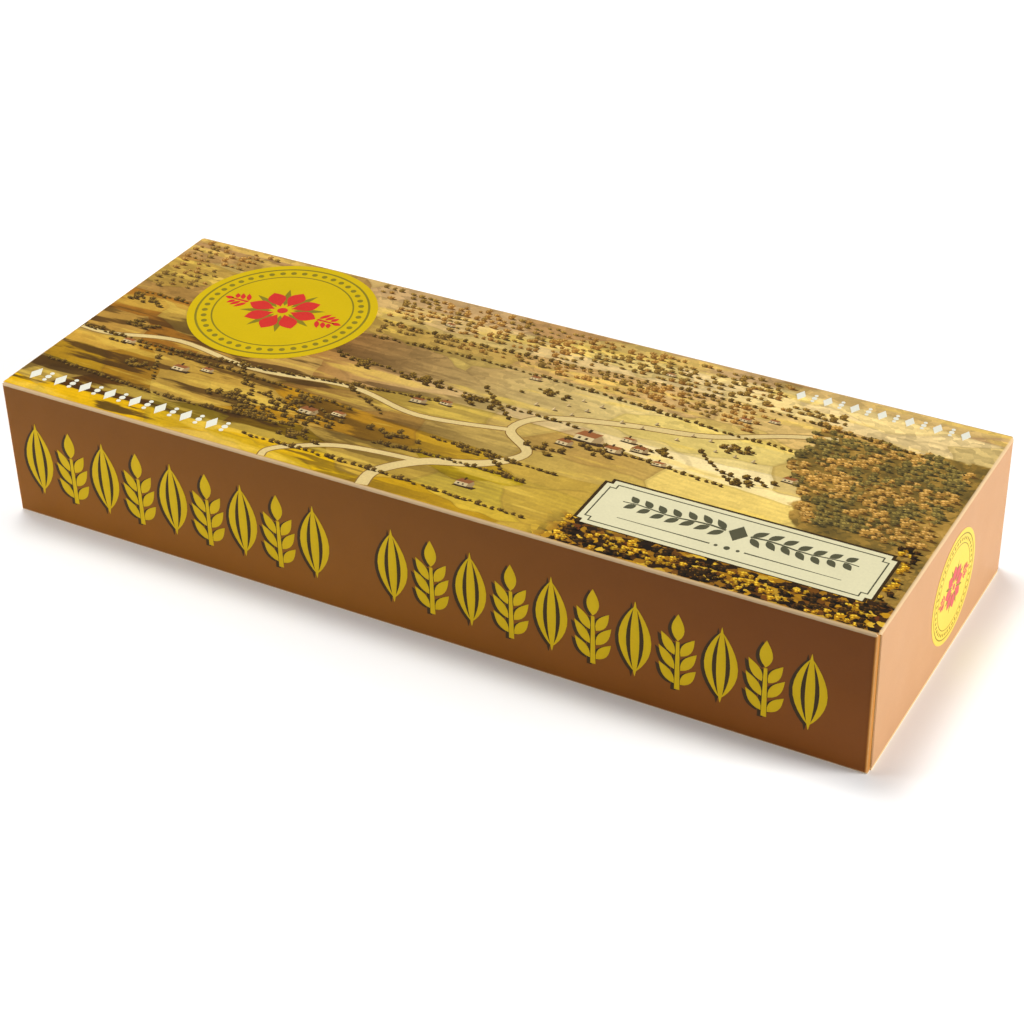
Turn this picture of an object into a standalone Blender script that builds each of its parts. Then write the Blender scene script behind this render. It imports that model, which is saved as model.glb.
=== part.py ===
"""Shut gift carton for small sweets.

The carton is one printed paperboard blank. Its four long panels are folded round and glued
along the lower back edge. At each short end two dust flaps fold in from the long sides, and a
closure panel hangs from the top panel over them, with its tuck fold standing on the bottom
panel. It is modelled shut and filled, so it is one solid.

The length runs along X, the front panel faces -Y, and the origin lies under the middle of the
carton, on the surface that it stands on.
"""

import math

import bpy
import bmesh

MM = 0.001

# Outside sizes of the shut carton
CARTON_LENGTH = 280.0 * MM
CARTON_WIDTH = 106.4 * MM
CARTON_HEIGHT = 45.6 * MM

# The card and its folds
CARD = 0.5 * MM
FOLD_RADIUS = 1.0 * MM
TUCK_RADIUS = 0.8 * MM
FOLD_STEPS = 6

# The raw edge of the back panel ends this far above the floor, outside the glue flap
SEAM_LIFT = 1.2 * MM

# The closure panel is cut narrower than the end that it covers, more so at its foot
CLOSURE_GAP_TOP = 2.0 * MM
CLOSURE_GAP_FOOT = 2.4 * MM
# How far the closure's solid runs into the carton, where the two become one
CLOSURE_ROOT = 4.0 * MM
# The bottom panel's cut edge lies this far back from the closure's face
LIP_SETBACK = 0.15 * MM
# The crease between the tuck fold and the bottom panel reaches just behind the dust flaps
CREASE_DEPTH = 0.7 * MM

# Looks of the printed card: linear colour, roughness
PRINTED_BROWN = (0.223, 0.093, 0.026, 1.0)
PRINTED_ROUGHNESS = 0.38


def arc(centre, radius, start_deg, end_deg):
    """Points of an arc in a plane, both ends included."""
    points = []
    for step in range(FOLD_STEPS + 1):
        angle = math.radians(start_deg + (end_deg - start_deg) * step / FOLD_STEPS)
        u = centre[0] + radius * math.cos(angle)
        v = centre[1] + radius * math.sin(angle)
        points.append((u, v))
    return points


def sleeve_outline():
    """The four long panels seen from +X, as (y, z), with the glued seam low at the back."""
    side = CARTON_WIDTH / 2
    inner_side = side - CARD
    r = FOLD_RADIUS
    outline = arc((-side + r, r), r, 180, 270)
    outline += arc((inner_side - r, r), r, 270, 360)
    outline += [(inner_side, SEAM_LIFT), (side, SEAM_LIFT)]
    outline += arc((side - r, CARTON_HEIGHT - r), r, 0, 90)
    outline += arc((-side + r, CARTON_HEIGHT - r), r, 90, 180)
    return outline


def plan_outline():
    """The sleeve with its dust flaps seen from above, as (x, y), with the four upright folds."""
    end = CARTON_LENGTH / 2 - CARD
    side = CARTON_WIDTH / 2
    r = FOLD_RADIUS
    outline = arc((end - r, -side + r), r, 270, 360)
    outline += arc((end - r, side - r), r, 0, 90)
    outline += arc((-end + r, side - r), r, 90, 180)
    outline += arc((-end + r, -side + r), r, 180, 270)
    return outline


def closure_outline():
    """The closure panel at +X seen from the front, as (x, z): top fold, tuck fold, crease, lip."""
    face = CARTON_LENGTH / 2
    root = face - CLOSURE_ROOT
    lip = face - LIP_SETBACK
    outline = [(lip, 0.0), (lip, CARD), (face - CREASE_DEPTH, CARD)]
    outline += arc((face - TUCK_RADIUS, CARD + TUCK_RADIUS), TUCK_RADIUS, 285, 360)
    outline += arc((face - FOLD_RADIUS, CARTON_HEIGHT - FOLD_RADIUS), FOLD_RADIUS, 0, 90)
    outline += [(root, CARTON_HEIGHT), (root, 0.0)]
    return outline


def prism(name, low_ring, high_ring):
    """A closed solid between two rings of points that match one to one."""
    bm = bmesh.new()
    low = [bm.verts.new(point) for point in low_ring]
    high = [bm.verts.new(point) for point in high_ring]
    bm.faces.new(low)
    bm.faces.new(reversed(high))
    count = len(low)
    for i in range(count):
        j = (i + 1) % count
        bm.faces.new((low[j], low[i], high[i], high[j]))
    bmesh.ops.recalc_face_normals(bm, faces=bm.faces)
    mesh = bpy.data.meshes.new(name)
    bm.to_mesh(mesh)
    bm.free()
    solid = bpy.data.objects.new(name, mesh)
    bpy.context.collection.objects.link(solid)
    return solid


def sleeve_solid(name):
    """The long panels, a little longer than the carton: the upright folds trim them."""
    reach = CARTON_LENGTH / 2 + CLOSURE_ROOT
    outline = sleeve_outline()
    low_ring = [(-reach, y, z) for y, z in outline]
    high_ring = [(reach, y, z) for y, z in outline]
    return prism(name, low_ring, high_ring)


def upright_trim(name):
    """The rounded plan that gives the sleeve its ends and its upright folds."""
    spare = CLOSURE_ROOT
    outline = plan_outline()
    low_ring = [(x, y, -spare) for x, y in outline]
    high_ring = [(x, y, CARTON_HEIGHT + spare) for x, y in outline]
    return prism(name, low_ring, high_ring)


def closure_half_width(z):
    """Half the closure panel's width at a height: it narrows from the top fold to the foot."""
    share = z / CARTON_HEIGHT
    gap = CLOSURE_GAP_FOOT + (CLOSURE_GAP_TOP - CLOSURE_GAP_FOOT) * share
    return CARTON_WIDTH / 2 - gap


def closure_solid(name, end_sign):
    """The closure panel at one end; end_sign is 1 at +X and -1 at -X."""
    outline = closure_outline()
    front_ring = [(end_sign * x, -closure_half_width(z), z) for x, z in outline]
    back_ring = [(end_sign * x, closure_half_width(z), z) for x, z in outline]
    return prism(name, front_ring, back_ring)


def combine(target, tool, operation):
    """Applies one exact Boolean to the target and removes the tool."""
    modifier = target.modifiers.new(operation.lower(), "BOOLEAN")
    modifier.operation = operation
    modifier.solver = "EXACT"
    modifier.object = tool
    depsgraph = bpy.context.evaluated_depsgraph_get()
    combined = bpy.data.meshes.new_from_object(target.evaluated_get(depsgraph))
    target.modifiers.clear()
    target.data = combined
    bpy.data.objects.remove(tool)


def printed_card():
    """Coated card, printed brown on its outside."""
    material = bpy.data.materials.new("printed_card")
    material.use_nodes = True
    shader = material.node_tree.nodes["Principled BSDF"]
    shader.inputs["Base Color"].default_value = PRINTED_BROWN
    shader.inputs["Roughness"].default_value = PRINTED_ROUGHNESS
    shader.inputs["Metallic"].default_value = 0.0
    return material


def build_carton():
    """The whole shut carton as one closed solid."""
    carton = sleeve_solid("carton")
    combine(carton, upright_trim("upright_trim"), "INTERSECT")
    combine(carton, closure_solid("closure_right", 1), "UNION")
    combine(carton, closure_solid("closure_left", -1), "UNION")
    carton.data.name = "carton"
    carton.data.materials.clear()
    carton.data.materials.append(printed_card())
    carton.data.shade_smooth()
    carton.data.set_sharp_from_angle(angle=math.radians(35))
    return carton


for leftover in list(bpy.data.objects):
    bpy.data.objects.remove(leftover)

build_carton()
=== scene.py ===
# %% [markdown]
# # A shut gift carton for sweets
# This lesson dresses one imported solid, a long flat folding carton, as printed paperboard.
# The carton is one sheet of coated board on the real thing: four long panels folded round and
# glued, and at each short end a closure panel that hangs from the top panel and tucks in at its
# foot. The solid gives the sizes. Everything here is built round it, in metres.

import math
import random
from collections import namedtuple

import bmesh
import bpy
from mathutils import Matrix, Vector


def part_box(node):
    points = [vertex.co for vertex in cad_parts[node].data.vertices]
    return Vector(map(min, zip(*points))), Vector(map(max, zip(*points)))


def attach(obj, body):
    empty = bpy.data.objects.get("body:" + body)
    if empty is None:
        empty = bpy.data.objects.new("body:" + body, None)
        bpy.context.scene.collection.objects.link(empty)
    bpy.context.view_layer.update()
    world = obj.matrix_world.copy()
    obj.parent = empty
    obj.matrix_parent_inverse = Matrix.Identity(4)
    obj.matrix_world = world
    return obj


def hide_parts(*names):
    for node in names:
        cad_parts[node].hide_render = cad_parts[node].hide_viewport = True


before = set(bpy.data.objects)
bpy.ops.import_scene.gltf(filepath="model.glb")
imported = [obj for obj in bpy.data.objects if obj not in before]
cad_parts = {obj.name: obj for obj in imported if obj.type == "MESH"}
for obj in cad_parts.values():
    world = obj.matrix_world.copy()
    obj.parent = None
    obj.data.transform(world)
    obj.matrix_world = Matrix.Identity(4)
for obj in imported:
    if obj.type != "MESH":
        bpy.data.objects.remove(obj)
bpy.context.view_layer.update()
low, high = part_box("carton")
MM = 0.001
LENGTH = (high.x - low.x) / MM
WIDTH = (high.y - low.y) / MM
HEIGHT = (high.z - low.z) / MM
FACE = LENGTH / 2
SIDE = WIDTH / 2
print(f"carton {LENGTH:.1f} x {WIDTH:.1f} x {HEIGHT:.1f} mm")

# %% [markdown]
# ## The camera
# The photograph looks down on the carton's near right corner from fairly far off. The place and
# the three angles come from fitting a camera to the carton's straight edges. The frame is square.

# %% Camera
CAMERA_PLACE = Vector((0.2902, -0.5077, 0.3994))
CAMERA_AZIMUTH = math.radians(29.31)
CAMERA_ELEVATION = math.radians(33.72)
CAMERA_ROLL = math.radians(-1.41)
CAMERA_LENS = 82.24


def new_object(name, data):
    """An object at the origin, linked to the scene."""
    made = bpy.data.objects.new(name, data)
    bpy.context.collection.objects.link(made)
    return made


def photo_camera():
    """A camera at the photograph's place: it looks along a heading, down, with a small roll."""
    heading = Vector((-math.sin(CAMERA_AZIMUTH), math.cos(CAMERA_AZIMUTH), 0))
    ahead = heading * math.cos(CAMERA_ELEVATION) - Vector((0, 0, math.sin(CAMERA_ELEVATION)))
    level = Vector((math.cos(CAMERA_AZIMUTH), math.sin(CAMERA_AZIMUTH), 0))
    upward = level.cross(ahead)
    right = math.cos(CAMERA_ROLL) * level + math.sin(CAMERA_ROLL) * upward
    up = -math.sin(CAMERA_ROLL) * level + math.cos(CAMERA_ROLL) * upward
    data = bpy.data.cameras.new("photo_camera")
    data.lens = CAMERA_LENS
    data.sensor_width = 36
    data.clip_start = 0.01
    camera = new_object("photo_camera", data)
    turn = Matrix((right, up, -ahead)).transposed().to_4x4()
    camera.matrix_world = Matrix.Translation(CAMERA_PLACE) @ turn
    bpy.context.scene.camera = camera


photo_camera()
print("camera at", [round(part, 3) for part in CAMERA_PLACE], "with a", CAMERA_LENS, "mm lens")

# %% [markdown]
# ## Helpers for node trees
# Shader trees and geometry trees are wired the same way here: one call adds a node and feeds
# its inputs, each with a plain value or with another node's output.

# %% Adding and feeding nodes
def feed(tree, node, inputs):
    """Gives each named or numbered input of a node a value, or links an output to it."""
    for key, value in inputs.items():
        if isinstance(value, bpy.types.NodeSocket):
            tree.links.new(value, node.inputs[key])
        else:
            node.inputs[key].default_value = value
    return node


def add(tree, kind, inputs=None, **settings):
    """Adds a node, sets its properties and feeds its inputs."""
    node = tree.nodes.new(kind)
    for key, value in settings.items():
        setattr(node, key, value)
    return feed(tree, node, inputs or {})


print("helpers: feed, add")

# %% Sums and vectors
def calc(tree, operation, *values, clamp=False):
    """One maths step on up to three values or outputs."""
    node = add(tree, "ShaderNodeMath", operation=operation, use_clamp=clamp)
    return feed(tree, node, dict(enumerate(values))).outputs[0]


def plus(tree, first, second):
    """The sum of two values or outputs."""
    return calc(tree, "ADD", first, second)


def times(tree, first, second):
    """The product of two values or outputs."""
    return calc(tree, "MULTIPLY", first, second)


def sloped(tree, value, slope, start, clamp=False):
    """A value times a slope, plus a start; clamp keeps it between 0 and 1."""
    return calc(tree, "MULTIPLY_ADD", value, slope, start, clamp=clamp)


def joined(tree, **parts):
    """A vector made from its parts X, Y and Z; those not named are 0."""
    return add(tree, "ShaderNodeCombineXYZ", parts).outputs[0]


def parted(tree, vector):
    """The three parts of a vector."""
    return add(tree, "ShaderNodeSeparateXYZ", {0: vector}).outputs


print("helpers: calc, plus, times, sloped, joined, parted")

# %% Easing, colours and noise
def ease(tree, value, start, end):
    """0 before start, 1 after end, and a smooth rise between them."""
    feeds = {"Value": value, "From Min": start, "From Max": end}
    node = add(tree, "ShaderNodeMapRange", interpolation_type="SMOOTHSTEP")
    return feed(tree, node, feeds).outputs["Result"]


def tint(tree, factor, first, second, mode="MIX"):
    """Mixes two colours by a factor from 0 to 1."""
    node = add(tree, "ShaderNodeMix", data_type="RGBA", blend_type=mode)
    return feed(tree, node, {0: factor, 6: first, 7: second}).outputs[2]


def gained(tree, colour, gain):
    """A colour made lighter or darker by a number that varies over the surface."""
    grey = add(tree, "ShaderNodeCombineColor", {"Red": gain, "Green": gain, "Blue": gain})
    return tint(tree, 1.0, colour, grey.outputs[0], "MULTIPLY")


def noise(tree, place, size, detail=2.0, stretch=(1, 1, 1)):
    """Noise with spots about size across, in millimetres, drawn out along an axis by stretch."""
    scale = [1 / (size * MM * part) for part in stretch]
    node = add(tree, "ShaderNodeMapping", {"Vector": place, "Scale": scale})
    feeds = {"Vector": node.outputs[0], "Scale": 1.0, "Detail": detail}
    return add(tree, "ShaderNodeTexNoise", feeds).outputs["Fac"]


def sway(tree, spread, *settings):
    """Noise that goes from half the spread below 0 to half above it."""
    return sloped(tree, noise(tree, *settings), spread, -spread / 2)


print("helpers: ease, tint, gained, noise, sway")

# %% Node groups
NUMBER = "NodeSocketFloat"
COLOUR = "NodeSocketColor"
VECTOR = "NodeSocketVector"


def group_tree(name, kind, inputs, outputs):
    """A node group with named sockets. Returns the tree and its input node."""
    tree = bpy.data.node_groups.new(name, kind)
    for socket, socket_type, default in inputs:
        made = tree.interface.new_socket(socket, in_out="INPUT", socket_type=socket_type)
        if default is not None:
            made.default_value = default
    for socket, socket_type in outputs:
        tree.interface.new_socket(socket, in_out="OUTPUT", socket_type=socket_type)
    return tree, tree.nodes.new("NodeGroupInput").outputs


def close_group(tree, results):
    """Feeds a group's outputs, each by its name."""
    feed(tree, tree.nodes.new("NodeGroupOutput"), results)


def place_group(tree, group, inputs):
    """Places a shader group in a tree and feeds its inputs."""
    return feed(tree, add(tree, "ShaderNodeGroup", node_tree=group), inputs).outputs


print("helpers: group_tree, close_group, place_group")

# %% Inks
def ink(red, green, blue):
    """An sRGB colour, 0 to 255, as the linear colour that a shader takes."""
    parts = [value / 255 for value in (red, green, blue)]
    return (*[c / 12.92 if c <= 0.04045 else ((c + 0.055) / 1.055) ** 2.4 for c in parts], 1.0)


print("half grey is", round(ink(128, 128, 128)[0], 3), "in linear light")

# %% [markdown]
# ## Effects that every finish shares
# All the print lies on one sheet of coated board, so every ink has the board's faint waviness
# and fibre, and the mottle of an ink film. Each of these is a node group, built once. They read
# object coordinates, which run on from the card to the ink on it, so the gloss doesn't break.

# %% Board surface
WAVE_SIZE = 38
FIBRE_SIZE = 0.9
RUB_SIZE = 14
BASE_ROUGHNESS = 0.37
RUB_ROUGHNESS = 0.16
FIBRE_ROUGHNESS = 0.06


def board_surface_group():
    """The relief of coated board, in millimetres, and how its roughness varies."""
    inputs = [("Vector", VECTOR, None), ("Wave", NUMBER, 0.05), ("Fibre", NUMBER, 0.004)]
    outputs = [("Height", NUMBER), ("Roughness", NUMBER)]
    tree, given = group_tree("board_surface", "ShaderNodeTree", inputs, outputs)
    wave = noise(tree, given["Vector"], WAVE_SIZE, 1.0, (1.6, 1, 1))
    fibre = noise(tree, given["Vector"], FIBRE_SIZE, 3.0, (2.2, 1, 1))
    height = times(tree, wave, given["Wave"])
    height = sloped(tree, fibre, given["Fibre"], height)
    rub = noise(tree, given["Vector"], RUB_SIZE, 4.0)
    rough = sloped(tree, rub, RUB_ROUGHNESS, BASE_ROUGHNESS)
    rough = sloped(tree, fibre, FIBRE_ROUGHNESS, rough)
    close_group(tree, {"Height": height, "Roughness": rough})
    return tree


board_surface = board_surface_group()
print("board surface group with", len(board_surface.nodes), "nodes")

# %% Ink film
DRIFT_SIZE = 11
GRAIN_SIZE = 0.8


def ink_film_group():
    """A printed colour with the slow drift, the mottle and the pin specks of an ink film."""
    inputs = [("Vector", VECTOR, None), ("Color", COLOUR, None), ("Mottle", NUMBER, 0.1),
              ("Specks", NUMBER, 0.1)]
    tree, given = group_tree("ink_film", "ShaderNodeTree", inputs, [("Color", COLOUR)])
    drift = noise(tree, given["Vector"], DRIFT_SIZE, 3.0)
    grain = noise(tree, given["Vector"], GRAIN_SIZE)
    spread = times(tree, calc(tree, "SUBTRACT", drift, 0.5), given["Mottle"])
    grain = times(tree, calc(tree, "SUBTRACT", grain, 0.5), given["Specks"])
    gain = plus(tree, sloped(tree, spread, 2.0, 1.0), grain)
    close_group(tree, {"Color": gained(tree, given["Color"], gain)})
    return tree


ink_film = ink_film_group()
print("ink film group with", len(ink_film.nodes), "nodes")

# %% [markdown]
# ## Wear along the folds
# Where board is folded, the ink cracks and the pale coating shows as a thin broken line. The
# mask is made from the distance past each fold's start: it is only above zero where two panels'
# roundings meet, so it needs no drawing and follows all twelve folds.

# %% Fold wear group
FOLD = 1.0
WORN_SPAN = (0.1, 0.34)
CRACK_SIZE = 1.6


def fold_wear_group():
    """1 on the worn middle of a fold and 0 on the flat panels."""
    inputs = [("Vector", VECTOR, None), ("Strength", NUMBER, 1.0)]
    tree, given = group_tree("fold_wear", "ShaderNodeTree", inputs, [("Mask", NUMBER)])
    place = parted(tree, given["Vector"])

    def past(value, start):
        """How far past a fold's start, as a share of the fold's radius."""
        return sloped(tree, value, 1 / (FOLD * MM), -start / FOLD, clamp=True)

    along = past(calc(tree, "ABSOLUTE", place[0]), FACE - FOLD)
    across = past(calc(tree, "ABSOLUTE", place[1]), SIDE - FOLD)
    upward = past(place[2], HEIGHT - FOLD)
    downward = sloped(tree, place[2], -1 / (FOLD * MM), 1.0, clamp=True)
    upright = calc(tree, "MAXIMUM", upward, downward)
    worn = times(tree, across, upright)
    for crossing in ((along, upright), (along, across)):
        worn = calc(tree, "MAXIMUM", worn, times(tree, *crossing))
    cracks = noise(tree, given["Vector"], CRACK_SIZE, 4.0)
    worn = times(tree, worn, plus(tree, 1.0, sloped(tree, cracks, 0.5, -0.25)))
    close_group(tree, {"Mask": times(tree, ease(tree, worn, *WORN_SPAN), given["Strength"])})
    return tree


fold_wear = fold_wear_group()
print("fold wear group with", len(fold_wear.nodes), "nodes")

# %% [markdown]
# ## A base for every printed finish
# Each finish is a Principled shader. Its colour passes through the ink film, its roughness and
# relief come from the board. The shader itself stays in the material, and what doesn't vary is
# set on its own sockets.

# %% Finish helper
SHINE_LEVEL = 0.13
WORN_COATING = ink(208, 180, 140)
WORN_ROUGHNESS = 0.25


def printed_finish(name, paint, mottle=0.1, specks=0.12, wear=0.0, gloss_shift=0.0):
    """A printed material. paint is a colour, or a function of the tree and its coordinates."""
    material = bpy.data.materials.new(name)
    material.use_nodes = True
    tree = material.node_tree
    shader = tree.nodes["Principled BSDF"]
    place = add(tree, "ShaderNodeTexCoord").outputs["Object"]
    colour = paint(tree, place) if callable(paint) else paint
    film = {"Vector": place, "Color": colour, "Mottle": mottle, "Specks": specks}
    colour = place_group(tree, ink_film, film)["Color"]
    board = place_group(tree, board_surface, {"Vector": place})
    rough = plus(tree, board["Roughness"], gloss_shift)
    if wear:
        mask = place_group(tree, fold_wear, {"Vector": place, "Strength": wear})["Mask"]
        colour = tint(tree, mask, colour, WORN_COATING)
        rough = sloped(tree, mask, WORN_ROUGHNESS, rough)
    bump = add(tree, "ShaderNodeBump", {"Height": board["Height"], "Distance": MM})
    feed(tree, shader, {"Base Color": colour, "Roughness": rough, "Normal": bump.outputs[0]})
    shader.inputs["Specular IOR Level"].default_value = SHINE_LEVEL
    return material


print("helper: printed_finish, shine level", SHINE_LEVEL)

# %% [markdown]
# ## The sleeve: front, back and bottom panels, with the dust flaps
# The four long panels are one ring of card. Its section has a rounded fold at each corner and,
# low at the back, the raw edge of the back panel standing proud of the glue flap. The section
# could be extruded and cut, but here it is carried along the length ring by ring, because the
# rings near each end can then be drawn in round the upright folds, down to the dust flaps.
# The top is let down by a little more than the card's thickness, for the cover sheet. The
# brown is not even: it is darkened towards the upper right as painted shade, and lightened at
# the foot as painted light from the floor. Over the top folds it gives way to the tan of the
# top's picture.

# %% Sleeve sizes, arcs and flats
CARD = 0.5
TUCK = 0.8
SEAM_LIFT = 1.2
GAP_TOP = 2.0
GAP_FOOT = 2.4
FOLD_STEPS = 8
SUPPORT = 0.8
COVER_BED = 0.55
LIP_SETBACK = 0.15
LIP_DEPTH = 1.2
WELD = 0.0005
SHARP_ANGLE = math.radians(32)


def turns_between(start, end):
    """The angles of a fold's steps, from degrees to radians, both ends included."""
    step = (end - start) / FOLD_STEPS
    return [math.radians(start + step * i) for i in range(FOLD_STEPS + 1)]


def arc(centre, radius, start, end):
    """Points of an arc in a plane, angles in degrees, both ends included."""
    return [(centre[0] + radius * math.cos(a), centre[1] + radius * math.sin(a))
            for a in turns_between(start, end)]


def flat_run(start, end):
    """Two points just inside a flat, so that the rounding's shading stays at its fold."""
    run = Vector(end) - Vector(start)
    step = run.normalized() * SUPPORT
    return [tuple(Vector(start) + step), tuple(Vector(end) - step)]


def with_flats(arcs):
    """Joins arcs into one closed outline, with support points on the flats between them."""
    outline = []
    for index, curve in enumerate(arcs):
        outline += curve
        following = arcs[(index + 1) % len(arcs)]
        outline += flat_run(curve[-1], following[0])
    return outline


print("a fold has", len(arc((0, 0), FOLD, 0, 90)), "points")

# %% The sleeve's section and rings
def sleeve_section():
    """The ring of card seen from +X, as (y, z), starting low at the front."""
    r = FOLD
    glue = SIDE - CARD
    bed = HEIGHT - COVER_BED
    low_front = arc((-SIDE + r, r), r, 180, 270)
    low_back = arc((glue - r, r), r, 270, 360) + [(glue, SEAM_LIFT), (SIDE, SEAM_LIFT)]
    high_back = arc((SIDE - r, HEIGHT - r), r, 0, 90) + [(SIDE - r, bed)]
    high_front = [(-SIDE + r, bed)] + arc((-SIDE + r, HEIGHT - r), r, 90, 180)
    return with_flats([low_front, low_back, high_back, high_front])


def sleeve_rings():
    """Pairs of (x, draw-in) along the carton: the draw-in follows each upright fold's arc."""
    end = FACE - CARD
    rings = [(end - FOLD + FOLD * math.sin(a), FOLD * (1 - math.cos(a)))
             for a in turns_between(0, 90)]
    rings = [(end - FOLD - SUPPORT, 0.0)] + rings
    return [(-x, inward) for x, inward in reversed(rings)] + rings


print("section of", len(sleeve_section()), "points, carried through", len(sleeve_rings()), "rings")

# %% From drawn geometry to a mesh
BLOCK_FACES = ((0, 1, 3, 2), (4, 6, 7, 5), (0, 4, 5, 1), (2, 3, 7, 6), (0, 2, 6, 4), (1, 5, 7, 3))


def block(bm, corner, opposite, material):
    """A closed box between two corners, in millimetres."""
    verts = [bm.verts.new((x, y, z)) for x in (corner[0], opposite[0])
             for y in (corner[1], opposite[1]) for z in (corner[2], opposite[2])]
    for loop in BLOCK_FACES:
        bm.faces.new([verts[i] for i in loop]).material_index = material


def drawn_mesh(name, bm):
    """Turns finished geometry into a mesh with its faces pointing outwards."""
    bmesh.ops.recalc_face_normals(bm, faces=bm.faces)
    mesh = bpy.data.meshes.new(name)
    bm.to_mesh(mesh)
    bm.free()
    return mesh


def finished_mesh(name, bm, materials):
    """Turns millimetre geometry into a finished piece at the origin, in metres."""
    bmesh.ops.remove_doubles(bm, verts=bm.verts, dist=WELD)
    bmesh.ops.scale(bm, vec=(MM, MM, MM), verts=bm.verts)
    mesh = drawn_mesh(name, bm)
    for material in materials:
        mesh.materials.append(material)
    mesh.shade_smooth()
    mesh.set_sharp_from_angle(angle=SHARP_ANGLE)
    return new_object(name, mesh)


print("helpers: block, drawn_mesh, finished_mesh")

# %% Build the sleeve
def build_sleeve(name, materials):
    """The sleeve as one closed shell, and the cut edge of the bottom panel at each end."""
    bm = bmesh.new()
    section = sleeve_section()
    rows = []
    for x, inward in sleeve_rings():
        reach = SIDE - inward
        top = HEIGHT - inward
        row = [(x, max(-reach, min(reach, y)), min(z, top)) for y, z in section]
        rows.append([bm.verts.new(point) for point in row])
    count = len(section)
    for near, far in zip(rows, rows[1:]):
        for i in range(count):
            j = (i + 1) % count
            face = bm.faces.new((near[i], near[j], far[j], far[i]))
            rise = abs(section[i][1] - SEAM_LIFT) + abs(section[j][1] - SEAM_LIFT)
            face.material_index = 1 if rise < 0.001 else 0
    bm.faces.new(rows[0])
    bm.faces.new(reversed(rows[-1]))
    lip = FACE - LIP_SETBACK
    foot = SIDE - GAP_FOOT
    for sign in (-1, 1):
        block(bm, (sign * (lip - LIP_DEPTH), -foot, 0.0), (sign * lip, foot, CARD), 1)
    return finished_mesh(name, bm, materials)


print("sleeve walls:", len(sleeve_section()) * (len(sleeve_rings()) - 1), "faces")

# %% Sleeve print
BROWN = ink(129, 78, 16)
# painted shade: the brown darkens towards this colour at the right end
RIGHT_PAINTED_SHADE_BROWN = ink(120, 66, 14)
# painted light: the dust flaps are the sleeve's brown drawn as a lighter orange, as if lit
# strongly
FLAP_PAINTED_LIGHT_ORANGE = ink(174, 116, 48)
PICTURE_BLEED = ink(188, 150, 88)
# painted light at the foot and painted shade at the top of the sleeve's brown
FOOT_PAINTED_LIGHT_GAIN = 1.18
TOP_PAINTED_SHADE_GAIN = 0.84
BLEED_SPAN = (0.45, 0.2)
FLAP_SPAN = (0.8, 0.2)


def paint_sleeve(tree, place):
    """Brown, with painted shade to the upper right and painted light at the foot, tan over the top
    folds and orange dust flaps painted as if lit.
    """
    axes = parted(tree, place)
    along = times(tree, axes[0], 1 / MM)
    # painted shade towards the right end, then painted light at the foot and painted shade at the
    # top
    brown = tint(tree, ease(tree, along, -0.3 * FACE, FACE), BROWN, RIGHT_PAINTED_SHADE_BROWN)
    rise = times(tree, axes[2], (TOP_PAINTED_SHADE_GAIN - FOOT_PAINTED_LIGHT_GAIN) / (HEIGHT * MM))
    brown = gained(tree, brown, plus(tree, rise, FOOT_PAINTED_LIGHT_GAIN))
    over = ease(tree, axes[2], *[(HEIGHT - share * FOLD) * MM for share in BLEED_SPAN])
    brown = tint(tree, over, brown, PICTURE_BLEED)
    # the dust flaps turn orange here, a painted light
    out = calc(tree, "ABSOLUTE", along)
    flap = ease(tree, out, *[FACE - CARD - FOLD * share for share in FLAP_SPAN])
    return tint(tree, flap, brown, FLAP_PAINTED_LIGHT_ORANGE)


brown_print = printed_finish("brown_print", paint_sleeve, mottle=0.06, specks=0.08, wear=0.8)
card_core = printed_finish("card_core", ink(232, 204, 154), mottle=0.12, gloss_shift=0.35)
sleeve = build_sleeve("sleeve", [brown_print, card_core])
print("sleeve", len(sleeve.data.polygons), "faces")

# %% [markdown]
# ## The top picture's ground: rolling farm land
# The top carries an old-fashioned tinted view of farm land in ochre, sand, olive and brown. Its
# ground is a shader: eight overlapping rises, painted from the far side to the near one, each
# with a wavy crest, a colour at each end, furrows that follow the crest, and shade below it. One
# node group paints one rise over what is behind it, so the list of rises is the whole drawing.
# On the top, u runs from the left end and v from the front edge, both in millimetres.

# %% Rises
Rise = namedtuple("Rise", "crest swell wave start tilt left right furrow depth")
RISES = [
    Rise(98, 1.8, 190, 0.10, 1.5, ink(192, 156, 94), ink(228, 199, 137), 2.2, 0.10),
    Rise(87, 3.2, 235, 0.35, -3.0, ink(178, 136, 68), ink(202, 165, 104), 3.2, 0.08),
    Rise(73, 4.6, 265, 0.82, 4.0, ink(124, 74, 24), ink(236, 210, 132), 2.6, 0.12),
    Rise(60, 3.6, 310, 0.22, -4.0, ink(158, 104, 28), ink(243, 220, 158), 4.2, 0.03),
    Rise(47, 4.2, 215, 0.60, 3.0, ink(118, 74, 18), ink(228, 196, 104), 1.9, 0.14),
    Rise(34, 3.0, 245, 0.05, -2.0, ink(180, 126, 14), ink(190, 158, 40), 2.3, 0.10),
    Rise(21, 3.0, 180, 0.45, 1.5, ink(82, 50, 10), ink(204, 172, 16), 1.7, 0.24),
    Rise(8.5, 1.4, 220, 0.80, 0.0, ink(218, 168, 0), ink(196, 164, 8), 1.4, 0.08),
]


def crest_at(rise, u):
    """How far back a rise's crest lies at a place along the carton."""
    sweep = rise.swell * math.sin(2 * math.pi * (u / rise.wave + rise.start))
    return rise.crest + sweep + rise.tilt * (u - FACE) / FACE


print(len(RISES), "rises; crests at the middle:", [round(crest_at(r, FACE), 1) for r in RISES])

# %% The group that paints one rise
LEFT_COLOUR_END = 40.0
RIGHT_COLOUR_START = 240.0
RIPPLE_BEND = 1.6
FURROW_GAIN = 1.7
LIT_GAIN = 1.07
SHADE_FALL = (1.0, 17.0)
SHADE_DEPTH = -0.11
CREST_EDGE = (0.8, 0.2)
CREST_DEPTH = -0.22
CREST_BLEND = (-0.1, 0.15)


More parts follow.
